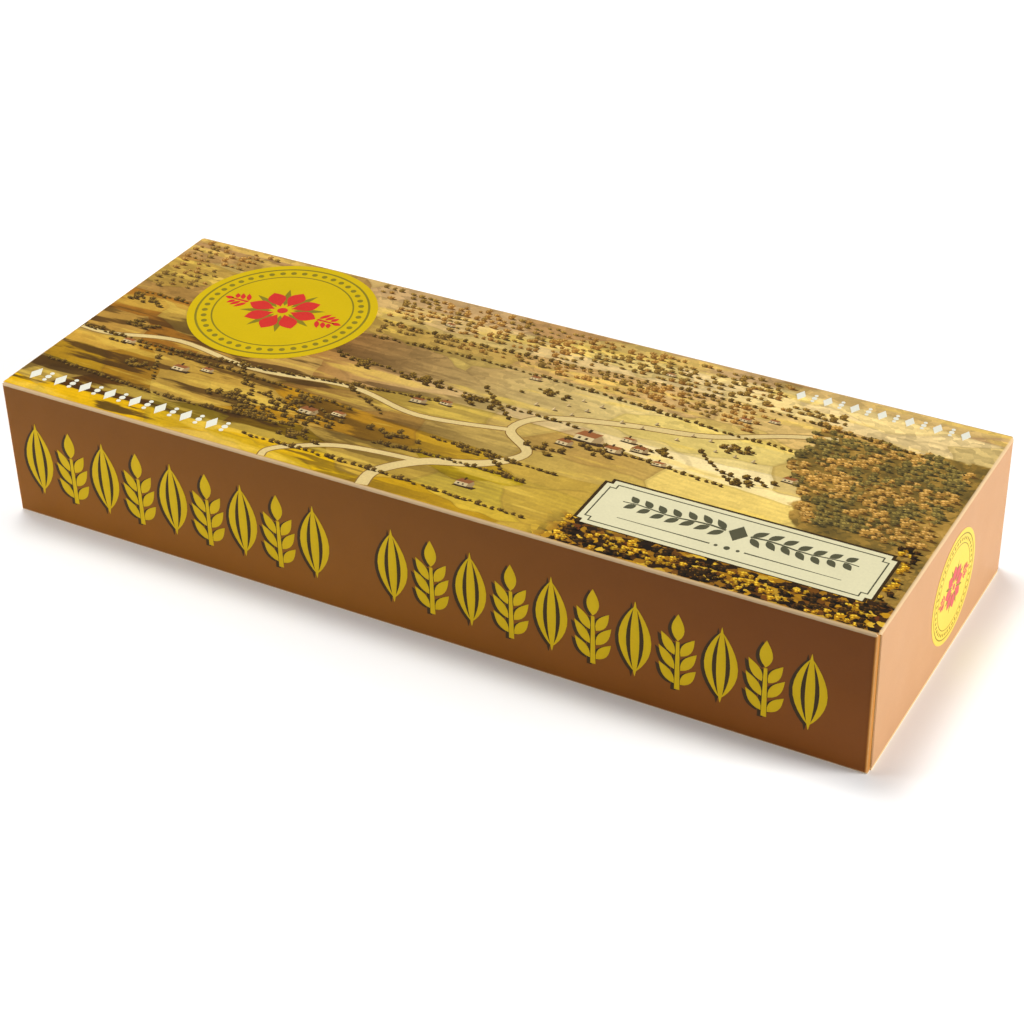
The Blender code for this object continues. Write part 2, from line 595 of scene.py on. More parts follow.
def rise_group():
    """Paints one rise over the colour behind it."""
    inputs = [("Behind", COLOUR, None), ("U", NUMBER, 0), ("V", NUMBER, 0), ("Streak", NUMBER, 0)]
    inputs += [(label, NUMBER, 1) for label in ("Crest", "Swell", "Wave", "Start", "Tilt")]
    inputs += [("Left", COLOUR, None), ("Right", COLOUR, None), ("Furrow", NUMBER, 2),
               ("Depth", NUMBER, 0.2)]
    tree, given = group_tree("rise", "ShaderNodeTree", inputs, [("Color", COLOUR)])
    turn = plus(tree, calc(tree, "DIVIDE", given["U"], given["Wave"]), given["Start"])
    sweep = calc(tree, "SINE", times(tree, turn, 2 * math.pi))
    along = sloped(tree, given["U"], 1 / FACE, -1.0)
    crest = sloped(tree, sweep, given["Swell"], given["Crest"])
    crest = sloped(tree, along, given["Tilt"], crest)
    below = calc(tree, "SUBTRACT", crest, given["V"])
    rightward = ease(tree, given["U"], LEFT_COLOUR_END, RIGHT_COLOUR_START)
    body = tint(tree, rightward, given["Left"], given["Right"])
    bent = sloped(tree, given["Streak"], RIPPLE_BEND, below)
    ripple = calc(tree, "DIVIDE", bent, given["Furrow"])
    ripple = calc(tree, "SINE", times(tree, ripple, 2 * math.pi))
    ripple = sloped(tree, ripple, 0.5, -0.5)
    patchy = times(tree, given["Depth"], given["Streak"])
    gain = sloped(tree, ripple, times(tree, patchy, FURROW_GAIN), LIT_GAIN)
    fall = times(tree, ease(tree, below, *SHADE_FALL), SHADE_DEPTH)
    edge = sloped(tree, ease(tree, below, *CREST_EDGE), CREST_DEPTH, fall)
    body = gained(tree, body, plus(tree, gain, edge))
    body = tint(tree, ease(tree, below, *CREST_BLEND), given["Behind"], body)
    close_group(tree, {"Color": body})
    return tree


rise_paint = rise_group()
print("rise group with", len(rise_paint.nodes), "nodes")

# %% [markdown]
# ## Brushwork on the ground
# A tinted print of this kind is never flat: each field is laid in dabs, fields differ a little
# from each other, and long dry streaks run along the slopes. Drawn strokes would cost thousands
# of faces, so noise bends a grid of Voronoi cells, and each cell's random number picks a tone.

# %% Dabs
def shifted(tree, place, shift, amount):
    """Coordinates moved by a vector times an amount, in metres."""
    step = add(tree, "ShaderNodeVectorMath", {0: shift, 3: amount}, operation="SCALE").outputs[0]
    return add(tree, "ShaderNodeVectorMath", {0: place, 1: step}, operation="ADD").outputs[0]


def cell_draws(tree, place, scale):
    """Three random numbers for each Voronoi cell, and the cells' coordinates."""
    drawn = add(tree, "ShaderNodeMapping", {"Vector": place, "Scale": scale}).outputs[0]
    cells = add(tree, "ShaderNodeTexVoronoi", {"Vector": drawn, "Scale": 1.0})
    draws = add(tree, "ShaderNodeSeparateColor", {0: cells.outputs["Color"]}).outputs
    return draws, drawn


def dabs(tree, place, size, stretch=1.0):
    """A random number for each dab of a loaded brush, about size across, in millimetres."""
    feeds = {"Vector": place, "Scale": 1 / (size * MM), "Detail": 2.0}
    ragged = add(tree, "ShaderNodeTexNoise", feeds).outputs["Color"]
    moved = shifted(tree, place, ragged, size * MM * 0.9)
    scale = (1 / (size * MM * stretch), 1 / (size * MM), 1 / (size * MM))
    return cell_draws(tree, moved, scale)[0][0]


print("helpers: shifted, cell_draws, dabs")

# %% Fields
FIELD_PAINTS = ((0.62, 0.34, ink(156, 136, 30)), (0.68, 0.40, ink(144, 92, 24)),
                (0.66, 0.22, ink(246, 214, 110)))
FIELD_LINE = ink(92, 66, 34)
LINE_STRENGTH = 0.2
FIELD_BEND = 0.012
BEND_SIZE = 20
FIELD_SCALE = (26.0, 62.0, 1.0)


def paint_fields(tree, place, colour):
    """Olive, brown and pale fields, laid thinly, with a dark line between them."""
    bent = noise(tree, place, BEND_SIZE)
    moved = shifted(tree, place, joined(tree, X=bent, Y=bent), FIELD_BEND)
    draws, drawn = cell_draws(tree, moved, FIELD_SCALE)
    for draw, (start, strength, paint) in zip(draws, FIELD_PAINTS):
        chosen = times(tree, ease(tree, draw, start, start + 0.04), strength)
        colour = tint(tree, chosen, colour, paint)
    edges = add(tree, "ShaderNodeTexVoronoi", {"Vector": drawn, "Scale": 1.0},
                feature="DISTANCE_TO_EDGE")
    line = ease(tree, edges.outputs["Distance"], 0.03, 0.01)
    return tint(tree, times(tree, line, LINE_STRENGTH), colour, FIELD_LINE)


print("fields about", [round(1 / (side * MM)) for side in FIELD_SCALE[:2]], "mm across")

# %% Streaks
DARK_STREAK = ink(66, 42, 16)
BRIGHT_STREAK = ink(244, 206, 84)
BROWNED = ink(150, 104, 34)
STREAK_SIZE = 5.5
LEFT_FADE = (190.0, 70.0)
NEAR_FADE = (84.0, 44.0)
DARK_SPAN, DARK_STRENGTH = (0.51, 0.57), 0.9
BRIGHT_SPAN, BRIGHT_STRENGTH = (0.45, 0.36), 0.40
BROWNED_SIZE, BROWNED_SPAN, BROWNED_STRENGTH = 48, (0.5, 0.7), 0.22


def paint_streaks(tree, place, u, v, colour):
    """Long dry streaks, dark at the near left and bright all over, and browned patches."""
    brush = noise(tree, place, STREAK_SIZE, 5.0, (7.0, 1, 1))
    near_left = times(tree, ease(tree, u, *LEFT_FADE), ease(tree, v, *NEAR_FADE))
    dark = times(tree, times(tree, near_left, DARK_STRENGTH), ease(tree, brush, *DARK_SPAN))
    colour = tint(tree, dark, colour, DARK_STREAK)
    bright = times(tree, ease(tree, brush, *BRIGHT_SPAN), BRIGHT_STRENGTH)
    colour = tint(tree, bright, colour, BRIGHT_STREAK)
    browned = ease(tree, noise(tree, place, BROWNED_SIZE), *BROWNED_SPAN)
    return tint(tree, times(tree, browned, BROWNED_STRENGTH), colour, BROWNED)


print("streaks about", STREAK_SIZE, "mm wide")

# %% Stipple
STIPPLE_SIZE = 1.9
STIPPLE_FADE = (58.0, 76.0)
NEAR_STIPPLE, FAR_STIPPLE = 0.14, 0.44


def paint_stipple(tree, place, v, colour):
    """Small dabs over everything, stronger on the far side."""
    stipple = calc(tree, "SUBTRACT", dabs(tree, place, STIPPLE_SIZE, 1.5), 0.5)
    backward = ease(tree, v, *STIPPLE_FADE)
    strength = sloped(tree, backward, FAR_STIPPLE - NEAR_STIPPLE, NEAR_STIPPLE)
    return gained(tree, colour, sloped(tree, stipple, strength, 1.0))


print("stipple dabs", STIPPLE_SIZE, "mm across")

# %% [markdown]
# ## The wood's floor and the thicket
# Under the trees at the right end the ground is brown, and a dark flowering thicket fills the
# near right. Both have a ragged edge that follows the trees which are planted on them later.

# %% Wood and thicket
WOOD_STOPS = ((0.0, ink(84, 70, 34)), (0.25, ink(112, 90, 40)), (0.50, ink(146, 114, 48)),
              (0.75, ink(178, 138, 62)), (1.0, ink(202, 162, 84)))
THICKET_STOPS = ((0.0, ink(24, 18, 10)), (0.34, ink(52, 34, 16)), (0.55, ink(112, 68, 20)),
                 (0.70, ink(190, 138, 24)), (0.84, ink(98, 44, 20)), (0.92, ink(216, 172, 50)))
WOOD_START = 229.0
WOOD_CORNER = 63.0
WOOD_SLANT = 0.46
WOOD_FAR = 86.0
WOOD_RAGGED = 16.0
THICKET_START = 182.0
THICKET_FAR = 13.8
THICKET_RAGGED = 12.0


def colour_steps(tree, value, stops, interpolation="LINEAR"):
    """A colour ramp from a list of (place, colour)."""
    node = add(tree, "ShaderNodeValToRGB", {"Fac": value})
    ramp = node.color_ramp
    ramp.interpolation = interpolation
    ramp.elements[0].position = stops[0][0]
    ramp.elements[1].position = stops[-1][0]
    for place, colour in stops[1:-1]:
        ramp.elements.new(place)
    for element, (place, colour) in zip(ramp.elements, stops):
        element.color = colour
    return node.outputs["Color"]


print(len(WOOD_STOPS), "wood inks,", len(THICKET_STOPS), "thicket inks")

# %% The wood's floor
def paint_wood(tree, place, u, v, colour):
    """The wood's floor. Its left edge slants to the right from its corner down to the plaque."""
    edge = sway(tree, WOOD_RAGGED, place, 9, 4.0)
    nearer = calc(tree, "MAXIMUM", calc(tree, "SUBTRACT", WOOD_CORNER, v), 0.0)
    inside = plus(tree, sloped(tree, nearer, -WOOD_SLANT, u), edge)
    inside = ease(tree, inside, WOOD_START, WOOD_START + 1.2)
    nearer = plus(tree, v, times(tree, edge, 0.4))
    inside = times(tree, inside, ease(tree, nearer, WOOD_FAR + 0.5, WOOD_FAR - 0.5))
    leaves = sloped(tree, noise(tree, place, 12, 4.0), 2.2, -0.85)
    leaves = sloped(tree, dabs(tree, place, 1.5, 1.3), 0.35, leaves)
    return tint(tree, inside, colour, colour_steps(tree, leaves, WOOD_STOPS))


print("wood starts at", WOOD_START, "mm")

# %% The thicket's floor
def paint_thicket(tree, place, u, v, colour):
    """The thicket's dark floor with its fallen blossom."""
    ragged = sway(tree, THICKET_RAGGED, place, 8, 3.0)
    near = ease(tree, plus(tree, v, ragged), THICKET_FAR + 1.2, THICKET_FAR - 1.3)
    right = ease(tree, plus(tree, u, ragged), THICKET_START - 4.0, THICKET_START + 4.0)
    blossom = colour_steps(tree, dabs(tree, place, 1.7, 1.5), THICKET_STOPS)
    return tint(tree, times(tree, near, right), colour, blossom)


print("thicket starts at", THICKET_START, "mm")

# %% [markdown]
# ## The whole ground
# The painter's order is the real one: rises from far to near, then the fields on them, the
# streaks and the stipple, and last the wood and the thicket. A little noise is added to v first,
# so that no crest is a clean curve.

# %% Ground paint
FAR_GROUND = ink(188, 152, 100)
CREST_SWAY = 3.0
FURROW_STREAK = 3.6


def paint_ground(tree, place):
    """The picture's ground, all over the top panel."""
    axes = parted(tree, place)
    u = sloped(tree, axes[0], 1 / MM, FACE)
    v = sloped(tree, axes[1], 1 / MM, SIDE)
    v = plus(tree, v, sway(tree, CREST_SWAY, place, 9, 3.0, (2.0, 1, 1)))
    streak = noise(tree, place, FURROW_STREAK, 4.0, (5.5, 1, 1))
    colour = FAR_GROUND
    for rise in RISES:
        feeds = {label.title(): value for label, value in rise._asdict().items()}
        feeds.update({"Behind": colour, "U": u, "V": v, "Streak": streak})
        colour = place_group(tree, rise_paint, feeds)["Color"]
    colour = paint_fields(tree, place, colour)
    colour = paint_streaks(tree, place, u, v, colour)
    colour = paint_stipple(tree, place, v, colour)
    colour = paint_wood(tree, place, u, v, colour)
    return paint_thicket(tree, place, u, v, colour)


top_picture = printed_finish("top_picture", paint_ground, mottle=0.14, specks=0.3, wear=0.7)
print("top picture with", len(top_picture.node_tree.nodes), "nodes")

# %% [markdown]
# ## The cover sheet: the top panel with a closure panel at each end
# Seen from the front, the top panel and the two closure panels are one strip of card, folded
# down at both ends and turned in at the foot. So one path makes it: its outside, and the same
# path set in by the card's thickness. On top the sheet reaches from fold to fold. Each closure
# panel is cut narrower than its end, more so at the foot, which leaves a strip of the dust flap
# showing beside it. The knife crushes the cut edge a little, so the panel's outer face ends in a
# narrow slope there, which catches the light.

# %% The cover sheet's path and width
SHEET = 0.45
HAIR = 0.004
EDGE_CRUSH = 0.18
PICTURE_END = FACE - FOLD * 0.45
FINISH_OF_SIDE = (None, 1, 2, 2, 2, 1)


def cover_path():
    """(x, z, outward x, outward z) from the right foot over the top to the left foot."""
    right_tuck = ((FACE - TUCK, CARD + TUCK), TUCK, 285, 360)
    right_fold = ((FACE - FOLD, HEIGHT - FOLD), FOLD, 0, 90)
    left_fold = ((-FACE + FOLD, HEIGHT - FOLD), FOLD, 90, 180)
    left_tuck = ((-FACE + TUCK, CARD + TUCK), TUCK, 180, 255)
    path = []
    for centre, radius, start, end in (right_tuck, right_fold, left_fold, left_tuck):
        points = arc(centre, radius, start, end)
        if path:
            x, z, out_x, out_z = path[-1]
            path += [(u, v, out_x, out_z) for u, v in flat_run((x, z), points[0])]
        path += [(u, v, (u - centre[0]) / radius, (v - centre[1]) / radius) for u, v in points]
    return path


def cover_half_width(z):
    """Half the sheet's width: full on top, cut in round the end fold, narrower to the foot."""
    closure = SIDE - (GAP_FOOT + (GAP_TOP - GAP_FOOT) * z / HEIGHT)
    on_fold = max(0.0, (z - HEIGHT + FOLD) / FOLD)
    return closure + (GAP_TOP - FOLD) * on_fold


print("cover path of", len(cover_path()), "points")

# %% Build the cover sheet
def build_cover(name, materials):
    """The cover sheet as one closed shell: picture on top, closure print and painted sheen on the
    ends.
    """
    bm = bmesh.new()
    lines = []
    for x, z, out_x, out_z in cover_path():
        half = cover_half_width(z) - HAIR
        crush = EDGE_CRUSH if z < HEIGHT - FOLD - SUPPORT / 2 else 0.0
        section = [(-half + crush, 0.0), (half - crush, 0.0), (half, crush), (half, SHEET),
                   (-half, SHEET), (-half, crush)]
        points = [(x - out_x * depth, y, z - out_z * depth) for y, depth in section]
        lines.append([bm.verts.new(point) for point in points])
    count = len(FINISH_OF_SIDE)
    for near, far in zip(lines, lines[1:]):
        for i in range(count):
            j = (i + 1) % count
            face = bm.faces.new((near[i], near[j], far[j], far[i]))
            middle = (near[i].co + far[i].co) / 2
            on_top = middle.z > HEIGHT - FOLD and abs(middle.x) < PICTURE_END
            face.material_index = (0 if on_top else 1) if i == 0 else FINISH_OF_SIDE[i]
    for end in (lines[0], list(reversed(lines[-1]))):
        bm.faces.new(end).material_index = 2
    return finished_mesh(name, bm, materials)


print("closure panels", round(2 * cover_half_width(0), 1), "mm wide at the foot")

# %% Closure print
# the closure print is the sleeve's brown made lighter and paler, partly a painted sheen of the
# strong light on the ends
CARAMEL_AND_PAINTED_SHEEN = ink(183, 138, 97)
closure_print = printed_finish("closure_print", CARAMEL_AND_PAINTED_SHEEN, mottle=0.05, specks=0.06, wear=0.8)
cover = build_cover("cover_sheet", [top_picture, closure_print, card_core])
print("cover sheet", len(cover.data.polygons), "faces")

# %% [markdown]
# ## Printed motifs as thin pieces
# What stands on that ground, and every ornament on the other panels, is drawn as real shapes a
# few hundredths of a millimetre thick, so that their edges stay crisp from close by and in an
# exported model. A motif is drawn flat in (u, v), with its height h off the panel, and carries
# a "shade" number at each point that its material turns into one of its inks.

# %% Slabs
SUNK = -0.04
MOTIFS = []


def start_motif():
    """Empty geometry whose points carry a shade."""
    bm = bmesh.new()
    bm.verts.layers.float.new("shade")
    return bm


def slab(bm, outline, height, shade=0.0, dome=0.0):
    """A closed shape: the outline runs anticlockwise as (u, v). A dome raises its middle."""
    layer = bm.verts.layers.float["shade"]
    foot = [bm.verts.new((u, v, SUNK)) for u, v in outline]
    head = [bm.verts.new((u, v, height)) for u, v in outline]
    for vert in foot + head:
        vert[layer] = shade
    bm.faces.new(reversed(foot))
    for i in range(len(outline)):
        j = (i + 1) % len(outline)
        bm.faces.new((foot[i], foot[j], head[j], head[i]))
    if not dome:
        bm.faces.new(head)
        return
    middle = sum((Vector(point) for point in outline), Vector((0, 0))) / len(outline)
    peak = bm.verts.new((*middle, height + dome))
    peak[layer] = shade
    for i in range(len(head)):
        bm.faces.new((head[i], head[(i + 1) % len(head)], peak))


print("motifs go", -SUNK, "mm into their panel")

# %% Bands and strokes
def band(bm, left, right, height, closed=False):
    """A flat band between two lines of points that match one to one; closed joins its ends."""
    rails = [[bm.verts.new((u, v, h)) for u, v in line]
             for line, h in ((left, height), (right, height), (right, SUNK), (left, SUNK))]
    count = len(left)
    for i in range(count if closed else count - 1):
        j = (i + 1) % count
        for side in range(4):
            near, far = rails[side], rails[(side + 1) % 4]
            bm.faces.new((near[i], near[j], far[j], far[i]))
    if not closed:
        bm.faces.new([rail[0] for rail in rails])
        bm.faces.new([rail[-1] for rail in reversed(rails)])


def drawing(*shapes):
    """Geometry of closed shapes: each an outline, its height and, if need be, shade and dome."""
    bm = start_motif()
    for shape in shapes:
        slab(bm, *shape)
    return bm


def stroke(bm, points, widths, height):
    """A brush stroke along points, with a width at each of them."""
    left, right = [], []
    for i, (u, v) in enumerate(points):
        before, after = points[max(i - 1, 0)], points[min(i + 1, len(points) - 1)]
        run = Vector((after[0] - before[0], after[1] - before[1])).normalized()
        half = widths[i] / 2
        left.append((u - run.y * half, v + run.x * half))
        right.append((u + run.y * half, v - run.x * half))
    band(bm, left, right, height)


print("helpers: band, drawing, stroke")

# %% Ovals and motifs
def round_turns(points):
    """The angles of evenly spaced points round a circle."""
    return [2 * math.pi * step / points for step in range(points)]


def oval(centre, half_u, half_v, points=12, rough=0.0, seed=0):
    """An oval outline; rough makes it uneven, the same way each run."""
    draw = random.Random(seed)
    first, second = draw.uniform(0, 2 * math.pi), draw.uniform(0, 2 * math.pi)
    outline = []
    for a in round_turns(points):
        swell = 1 + rough * (math.sin(3 * a + first) + 0.6 * math.sin(5 * a + second))
        outline.append((centre[0] + half_u * swell * math.cos(a),
                        centre[1] + half_v * swell * math.sin(a)))
    return outline


def motif_object(name, bm):
    """Keeps a motif as an object for a geometry tree to place. It stays in millimetres."""
    motif = new_object(name, drawn_mesh(name, bm))
    MOTIFS.append(motif)
    return motif


print("helpers: round_turns, oval, motif_object")

# %% The panels that are printed on
def panel_matrix(origin, along, upward):
    """Places (u, v, h) in millimetres on a panel: its origin, where u runs and where v runs."""
    along, upward = Vector(along), Vector(upward)
    turn = Matrix((along, upward, along.cross(upward))).transposed().to_4x4()
    return Matrix.Scale(MM, 4) @ Matrix.Translation(origin) @ turn


PANELS = {
    "top": panel_matrix((-FACE, -SIDE, HEIGHT), (1, 0, 0), (0, 1, 0)),
    "front": panel_matrix((-FACE, -SIDE, 0), (1, 0, 0), (0, 0, 1)),
    "back": panel_matrix((FACE, SIDE, 0), (-1, 0, 0), (0, 0, 1)),
    "right": panel_matrix((FACE, -SIDE, 0), (0, 1, 0), (0, 0, 1)),
    "left": panel_matrix((-FACE, SIDE, 0), (0, -1, 0), (0, 0, 1)),
}
print("panels:", sorted(PANELS))

# %% Inks picked by shade
def shaded_inks(stops, vary=0.25, others=None, clump=12.0, edge=0.5):
    """Paint for a motif: its shade picks an ink, and its tint makes each copy a little different.

    With others, clumps about that many millimetres across take their inks from the second list.
    """
    def paint(tree, place):
        shade = add(tree, "ShaderNodeAttribute", attribute_name="shade").outputs["Fac"]
        copy = add(tree, "ShaderNodeAttribute", attribute_name="tint").outputs["Fac"]
        colour = colour_steps(tree, shade, stops, "CONSTANT")
        if others:
            second = colour_steps(tree, shade, others, "CONSTANT")
            cloud = sloped(tree, copy, 0.16, noise(tree, place, clump, 2.0))
            colour = tint(tree, ease(tree, cloud, edge + 0.07, edge + 0.09), colour, second)
        gain = sloped(tree, copy, vary, 1 - vary / 2)
        return gained(tree, colour, gain)
    return paint


print("helper: shaded_inks")

# %% [markdown]
# ## Geometry trees that place motifs
# Four small trees do all the repeating. One scatters up to three motifs on points, one strings
# them along a path by way of the first, one sets a motif round a ring, and one lays two motifs
# in turn along a line. Each ends by realizing the copies and setting their material, and the
# result is kept as a plain mesh, because an exported model can't hold instances.

# %% Sockets and random numbers
GEOMETRY = "NodeSocketGeometry"
OBJECT = "NodeSocketObject"
MATERIAL = "NodeSocketMaterial"
INTEGER = "NodeSocketInt"
MOTIF_INPUTS = [(f"Motif {letter}", OBJECT, None) for letter in "ABC"]
SCATTER_INPUTS = [*MOTIF_INPUTS, ("Smallest", NUMBER, 0.8), ("Largest", NUMBER, 1.2),
                  ("Turn", NUMBER, 0.2), ("Seed", INTEGER, 1), ("Finish", MATERIAL, None)]
COPY_LIFT = 0.012
FLOAT_RANGE = (2, 3)
FLOAT_RESULT = 1
INTEGER_RANGE = (4, 5)
INTEGER_RESULT = 2
TINT_SEED = 5


def draw_number(tree, lowest, highest, seed, whole=False):
    """A random number for each point; whole makes it an integer."""
    kind = "INT" if whole else "FLOAT"
    ends, result = (INTEGER_RANGE, INTEGER_RESULT) if whole else (FLOAT_RANGE, FLOAT_RESULT)
    node = add(tree, "FunctionNodeRandomValue", data_type=kind)
    return feed(tree, node, {ends[0]: lowest, ends[1]: highest, "Seed": seed}).outputs[result]


print("a scatter takes", len(SCATTER_INPUTS), "values")

# %% Copies and their finish
def copies_tree(name, inputs):
    """An empty geometry tree that takes and gives geometry, and its input node."""
    inputs = [("Geometry", GEOMETRY, None), *inputs]
    return group_tree(name, "GeometryNodeTree", inputs, [("Geometry", GEOMETRY)])


def about_h(tree, angle):
    """A turn about the panel's outward axis."""
    return add(tree, "FunctionNodeEulerToRotation", {0: joined(tree, Z=angle)}).outputs[0]


def copies(tree, motif, points, **feeds):
    """Copies of a motif on points; feeds can give Selection, Rotation and Scale."""
    source = add(tree, "GeometryNodeObjectInfo", {"Object": motif}).outputs["Geometry"]
    feeds = {"Points": points, "Instance": source, **feeds}
    return add(tree, "GeometryNodeInstanceOnPoints", feeds).outputs[0]


def finish_copies(tree, placed, seed, finish):
    """Gives each copy its tint, realizes them all and sets their material."""
    copy_tint = draw_number(tree, 0.0, 1.0, seed)
    stored = add(tree, "GeometryNodeStoreNamedAttribute", data_type="FLOAT", domain="INSTANCE")
    feed(tree, stored, {"Geometry": placed, "Name": "tint", "Value": copy_tint})
    real = add(tree, "GeometryNodeRealizeInstances", {0: stored.outputs[0]})
    faced = add(tree, "GeometryNodeSetMaterial", {"Geometry": real.outputs[0], "Material": finish})
    close_group(tree, {"Geometry": faced.outputs[0]})


print("helpers: copies_tree, about_h, copies, finish_copies")

# %% Scatter
def scatter_tree():
    """One of three motifs on each point, at a random size."""
    tree, given = copies_tree("scatter", SCATTER_INPUTS)

    def draw(lowest, highest, step, whole=False):
        """A number from the tree's own seed, moved on by a step."""
        return draw_number(tree, lowest, highest, plus(tree, given["Seed"], step), whole)

    pick = draw(0, 2, 0.0, whole=True)
    size = draw(given["Smallest"], given["Largest"], 1.0)
    turn = draw(times(tree, given["Turn"], -1.0), given["Turn"], 2.0)
    lift = joined(tree, Z=draw(0.0, COPY_LIFT, 4.0))
    lifted = add(tree, "GeometryNodeSetPosition", {"Geometry": given["Geometry"], "Offset": lift})
    scale = joined(tree, X=size, Y=size, Z=1.0)
    join = add(tree, "GeometryNodeJoinGeometry")
    for index, letter in enumerate("ABC"):
        same = add(tree, "FunctionNodeCompare", data_type="INT", operation="EQUAL")
        feed(tree, same, {2: pick, 3: index})
        placed = copies(tree, given[f"Motif {letter}"], lifted.outputs[0], Scale=scale,
                        Selection=same.outputs[0], Rotation=about_h(tree, turn))
        tree.links.new(placed, join.inputs[0])
    finish_copies(tree, join.outputs[0], plus(tree, given["Seed"], 3.0), given["Finish"])
    return tree


scatter = scatter_tree()
print("scatter tree with", len(scatter.nodes), "nodes")

# %% Scatter along a path
def along_path_tree(scatter):
    """Points at a pitch along a drawn path, a little off it, then the scatter tree."""
    inputs = [("Pitch", NUMBER, 2.0), ("Stray", NUMBER, 0.3), *SCATTER_INPUTS]
    tree, given = copies_tree("along_path", inputs)
    curve = add(tree, "GeometryNodeMeshToCurve", {"Mesh": given["Geometry"]})
    feeds = {"Curve": curve.outputs[0], "Length": given["Pitch"]}
    even = add(tree, "GeometryNodeResampleCurve", feeds, mode="LENGTH")
    points = add(tree, "GeometryNodeCurveToPoints", {"Curve": even.outputs[0]}, mode="EVALUATED")
    back = times(tree, given["Stray"], -1.0)
    off_u, off_v = [draw_number(tree, back, given["Stray"], plus(tree, given["Seed"], step))
                    for step in (7.0, 8.0)]
    offset = joined(tree, X=off_u, Y=off_v)
    moved = add(tree, "GeometryNodeSetPosition", {"Geometry": points.outputs[0], "Offset": offset})
    passed = {entry[0]: given[entry[0]] for entry in SCATTER_INPUTS}
    inner = add(tree, "GeometryNodeGroup", node_tree=scatter)
    feed(tree, inner, {"Geometry": moved.outputs[0], **passed})
    close_group(tree, {"Geometry": inner.outputs[0]})
    return tree


along_path = along_path_tree(scatter)
print("path tree with", len(along_path.nodes), "nodes")

# %% Ring
def ring_tree():
    """A motif repeated round a circle, each turned outwards."""
    tree, given = copies_tree("ring", [
        ("Count", INTEGER, 8), ("Radius", NUMBER, 10.0), ("Offset Turn", NUMBER, 0.0),
        ("Motif", OBJECT, None), ("Finish", MATERIAL, None)])
    count = given["Count"]
    circle = add(tree, "GeometryNodeMeshCircle", {"Vertices": count, "Radius": given["Radius"]})
    index = add(tree, "GeometryNodeInputIndex").outputs[0]
    angle = times(tree, calc(tree, "DIVIDE", index, count), 2 * math.pi)
    placed = copies(tree, given["Motif"], circle.outputs[0], Rotation=about_h(tree, angle))
    spin = joined(tree, Z=given["Offset Turn"])
    turned = add(tree, "GeometryNodeTransform", {"Geometry": placed, "Rotation": spin})
    finish_copies(tree, turned.outputs[0], TINT_SEED, given["Finish"])
    return tree


ring = ring_tree()
print("ring tree with", len(ring.nodes), "nodes")

# %% Frieze
def frieze_tree():
    """Two motifs in turn along a line."""
    tree, given = copies_tree("frieze", [
        ("Count", INTEGER, 9), ("Start", VECTOR, None), ("Pitch", NUMBER, 12.0),
        *MOTIF_INPUTS[:2], ("Finish", MATERIAL, None)])
    step = joined(tree, X=given["Pitch"])
    feeds = {"Count": given["Count"], "Start Location": given["Start"], "Offset": step}
    line = add(tree, "GeometryNodeMeshLine", feeds).outputs[0]
    odd = calc(tree, "MODULO", add(tree, "GeometryNodeInputIndex").outputs[0], 2.0)
    join = add(tree, "GeometryNodeJoinGeometry")
    for letter, chosen in (("A", calc(tree, "SUBTRACT", 1.0, odd)), ("B", odd)):
        placed = copies(tree, given[f"Motif {letter}"], line, Selection=chosen)
        tree.links.new(placed, join.inputs[0])
    finish_copies(tree, join.outputs[0], TINT_SEED, given["Finish"])
    return tree


frieze = frieze_tree()
print("frieze tree with", len(frieze.nodes), "nodes")

# %% From a tree to a piece
def matrix_on(panel):
    """The matrix of a panel given by its name, or a matrix as it is."""
    return PANELS[panel] if isinstance(panel, str) else panel


def lettered(*motifs):
    """The motif inputs of a tree, by letter."""
    return {f"Motif {letter}": motif for letter, motif in zip("ABC", motifs)}


def one_finish(mesh, finish):
    """Leaves a mesh with a single material slot, for all its faces."""
    mesh.materials.clear()
    mesh.materials.append(finish)
    mesh.polygons.foreach_set("material_index", [0] * len(mesh.polygons))


def grow(name, tree, values, panel, base=None):
    """Runs a geometry tree on a base mesh and keeps the result as a plain mesh on a panel."""
    maker = new_object(name + "_maker", base or bpy.data.meshes.new(name + "_base"))
    modifier = maker.modifiers.new("tree", "NODES")
    modifier.node_group = tree
    sockets = {item.name: item.identifier for item in tree.interface.items_tree
               if item.item_type == "SOCKET" and item.in_out == "INPUT"}
    for label, value in values.items():
        modifier[sockets[label]] = value
    evaluated = maker.evaluated_get(bpy.context.evaluated_depsgraph_get())
    result = bpy.data.meshes.new_from_object(evaluated)
    bpy.data.objects.remove(maker)
    result.name = name
    result.transform(matrix_on(panel))
    one_finish(result, values["Finish"])
    return new_object(name, result)


def points_mesh(points, as_path=False):
    """A mesh of bare points, or of one path through them, as (u, v) or (u, v, h)."""
    mesh = bpy.data.meshes.new("points")
    edges = [(i, i + 1) for i in range(len(points) - 1)] if as_path else []
    mesh.from_pydata([Vector(point).to_3d() for point in points], edges, [])
    return mesh


print("helpers: matrix_on, lettered, grow, points_mesh")

# %% From a drawing to a piece
def drawn_piece(name, bm, finish, panel):
    """A piece drawn directly: lays the flat drawing on its panel."""
    mesh = drawn_mesh(name, bm)
    mesh.transform(matrix_on(panel))
    mesh.materials.append(finish)
    return new_object(name, mesh)


def joined_piece(name, parts):
    """Joins pieces of one finish into one mesh."""
    bm = bmesh.new()
    for part in parts:
        bm.from_mesh(part.data)
    mesh = parts[0].data.copy()
    bm.to_mesh(mesh)
    bm.free()
    for part in parts:
        bpy.data.objects.remove(part)
    mesh.name = name
    return new_object(name, mesh)


print("helpers: drawn_piece, joined_piece")

# %% [markdown]
# ## The yellow friezes on the long sides
# The front shows a tall row of yellow figures, each with a dark printed shadow, in two blocks
# with a gap between them. Here nuts and leaf sprigs take turns. A nut is three slices of a
# pointed oval, so what shows between them reads as its grooves. The shadow is the same row
# without grooves, moved a little and laid lower. The back panel carries the same row.

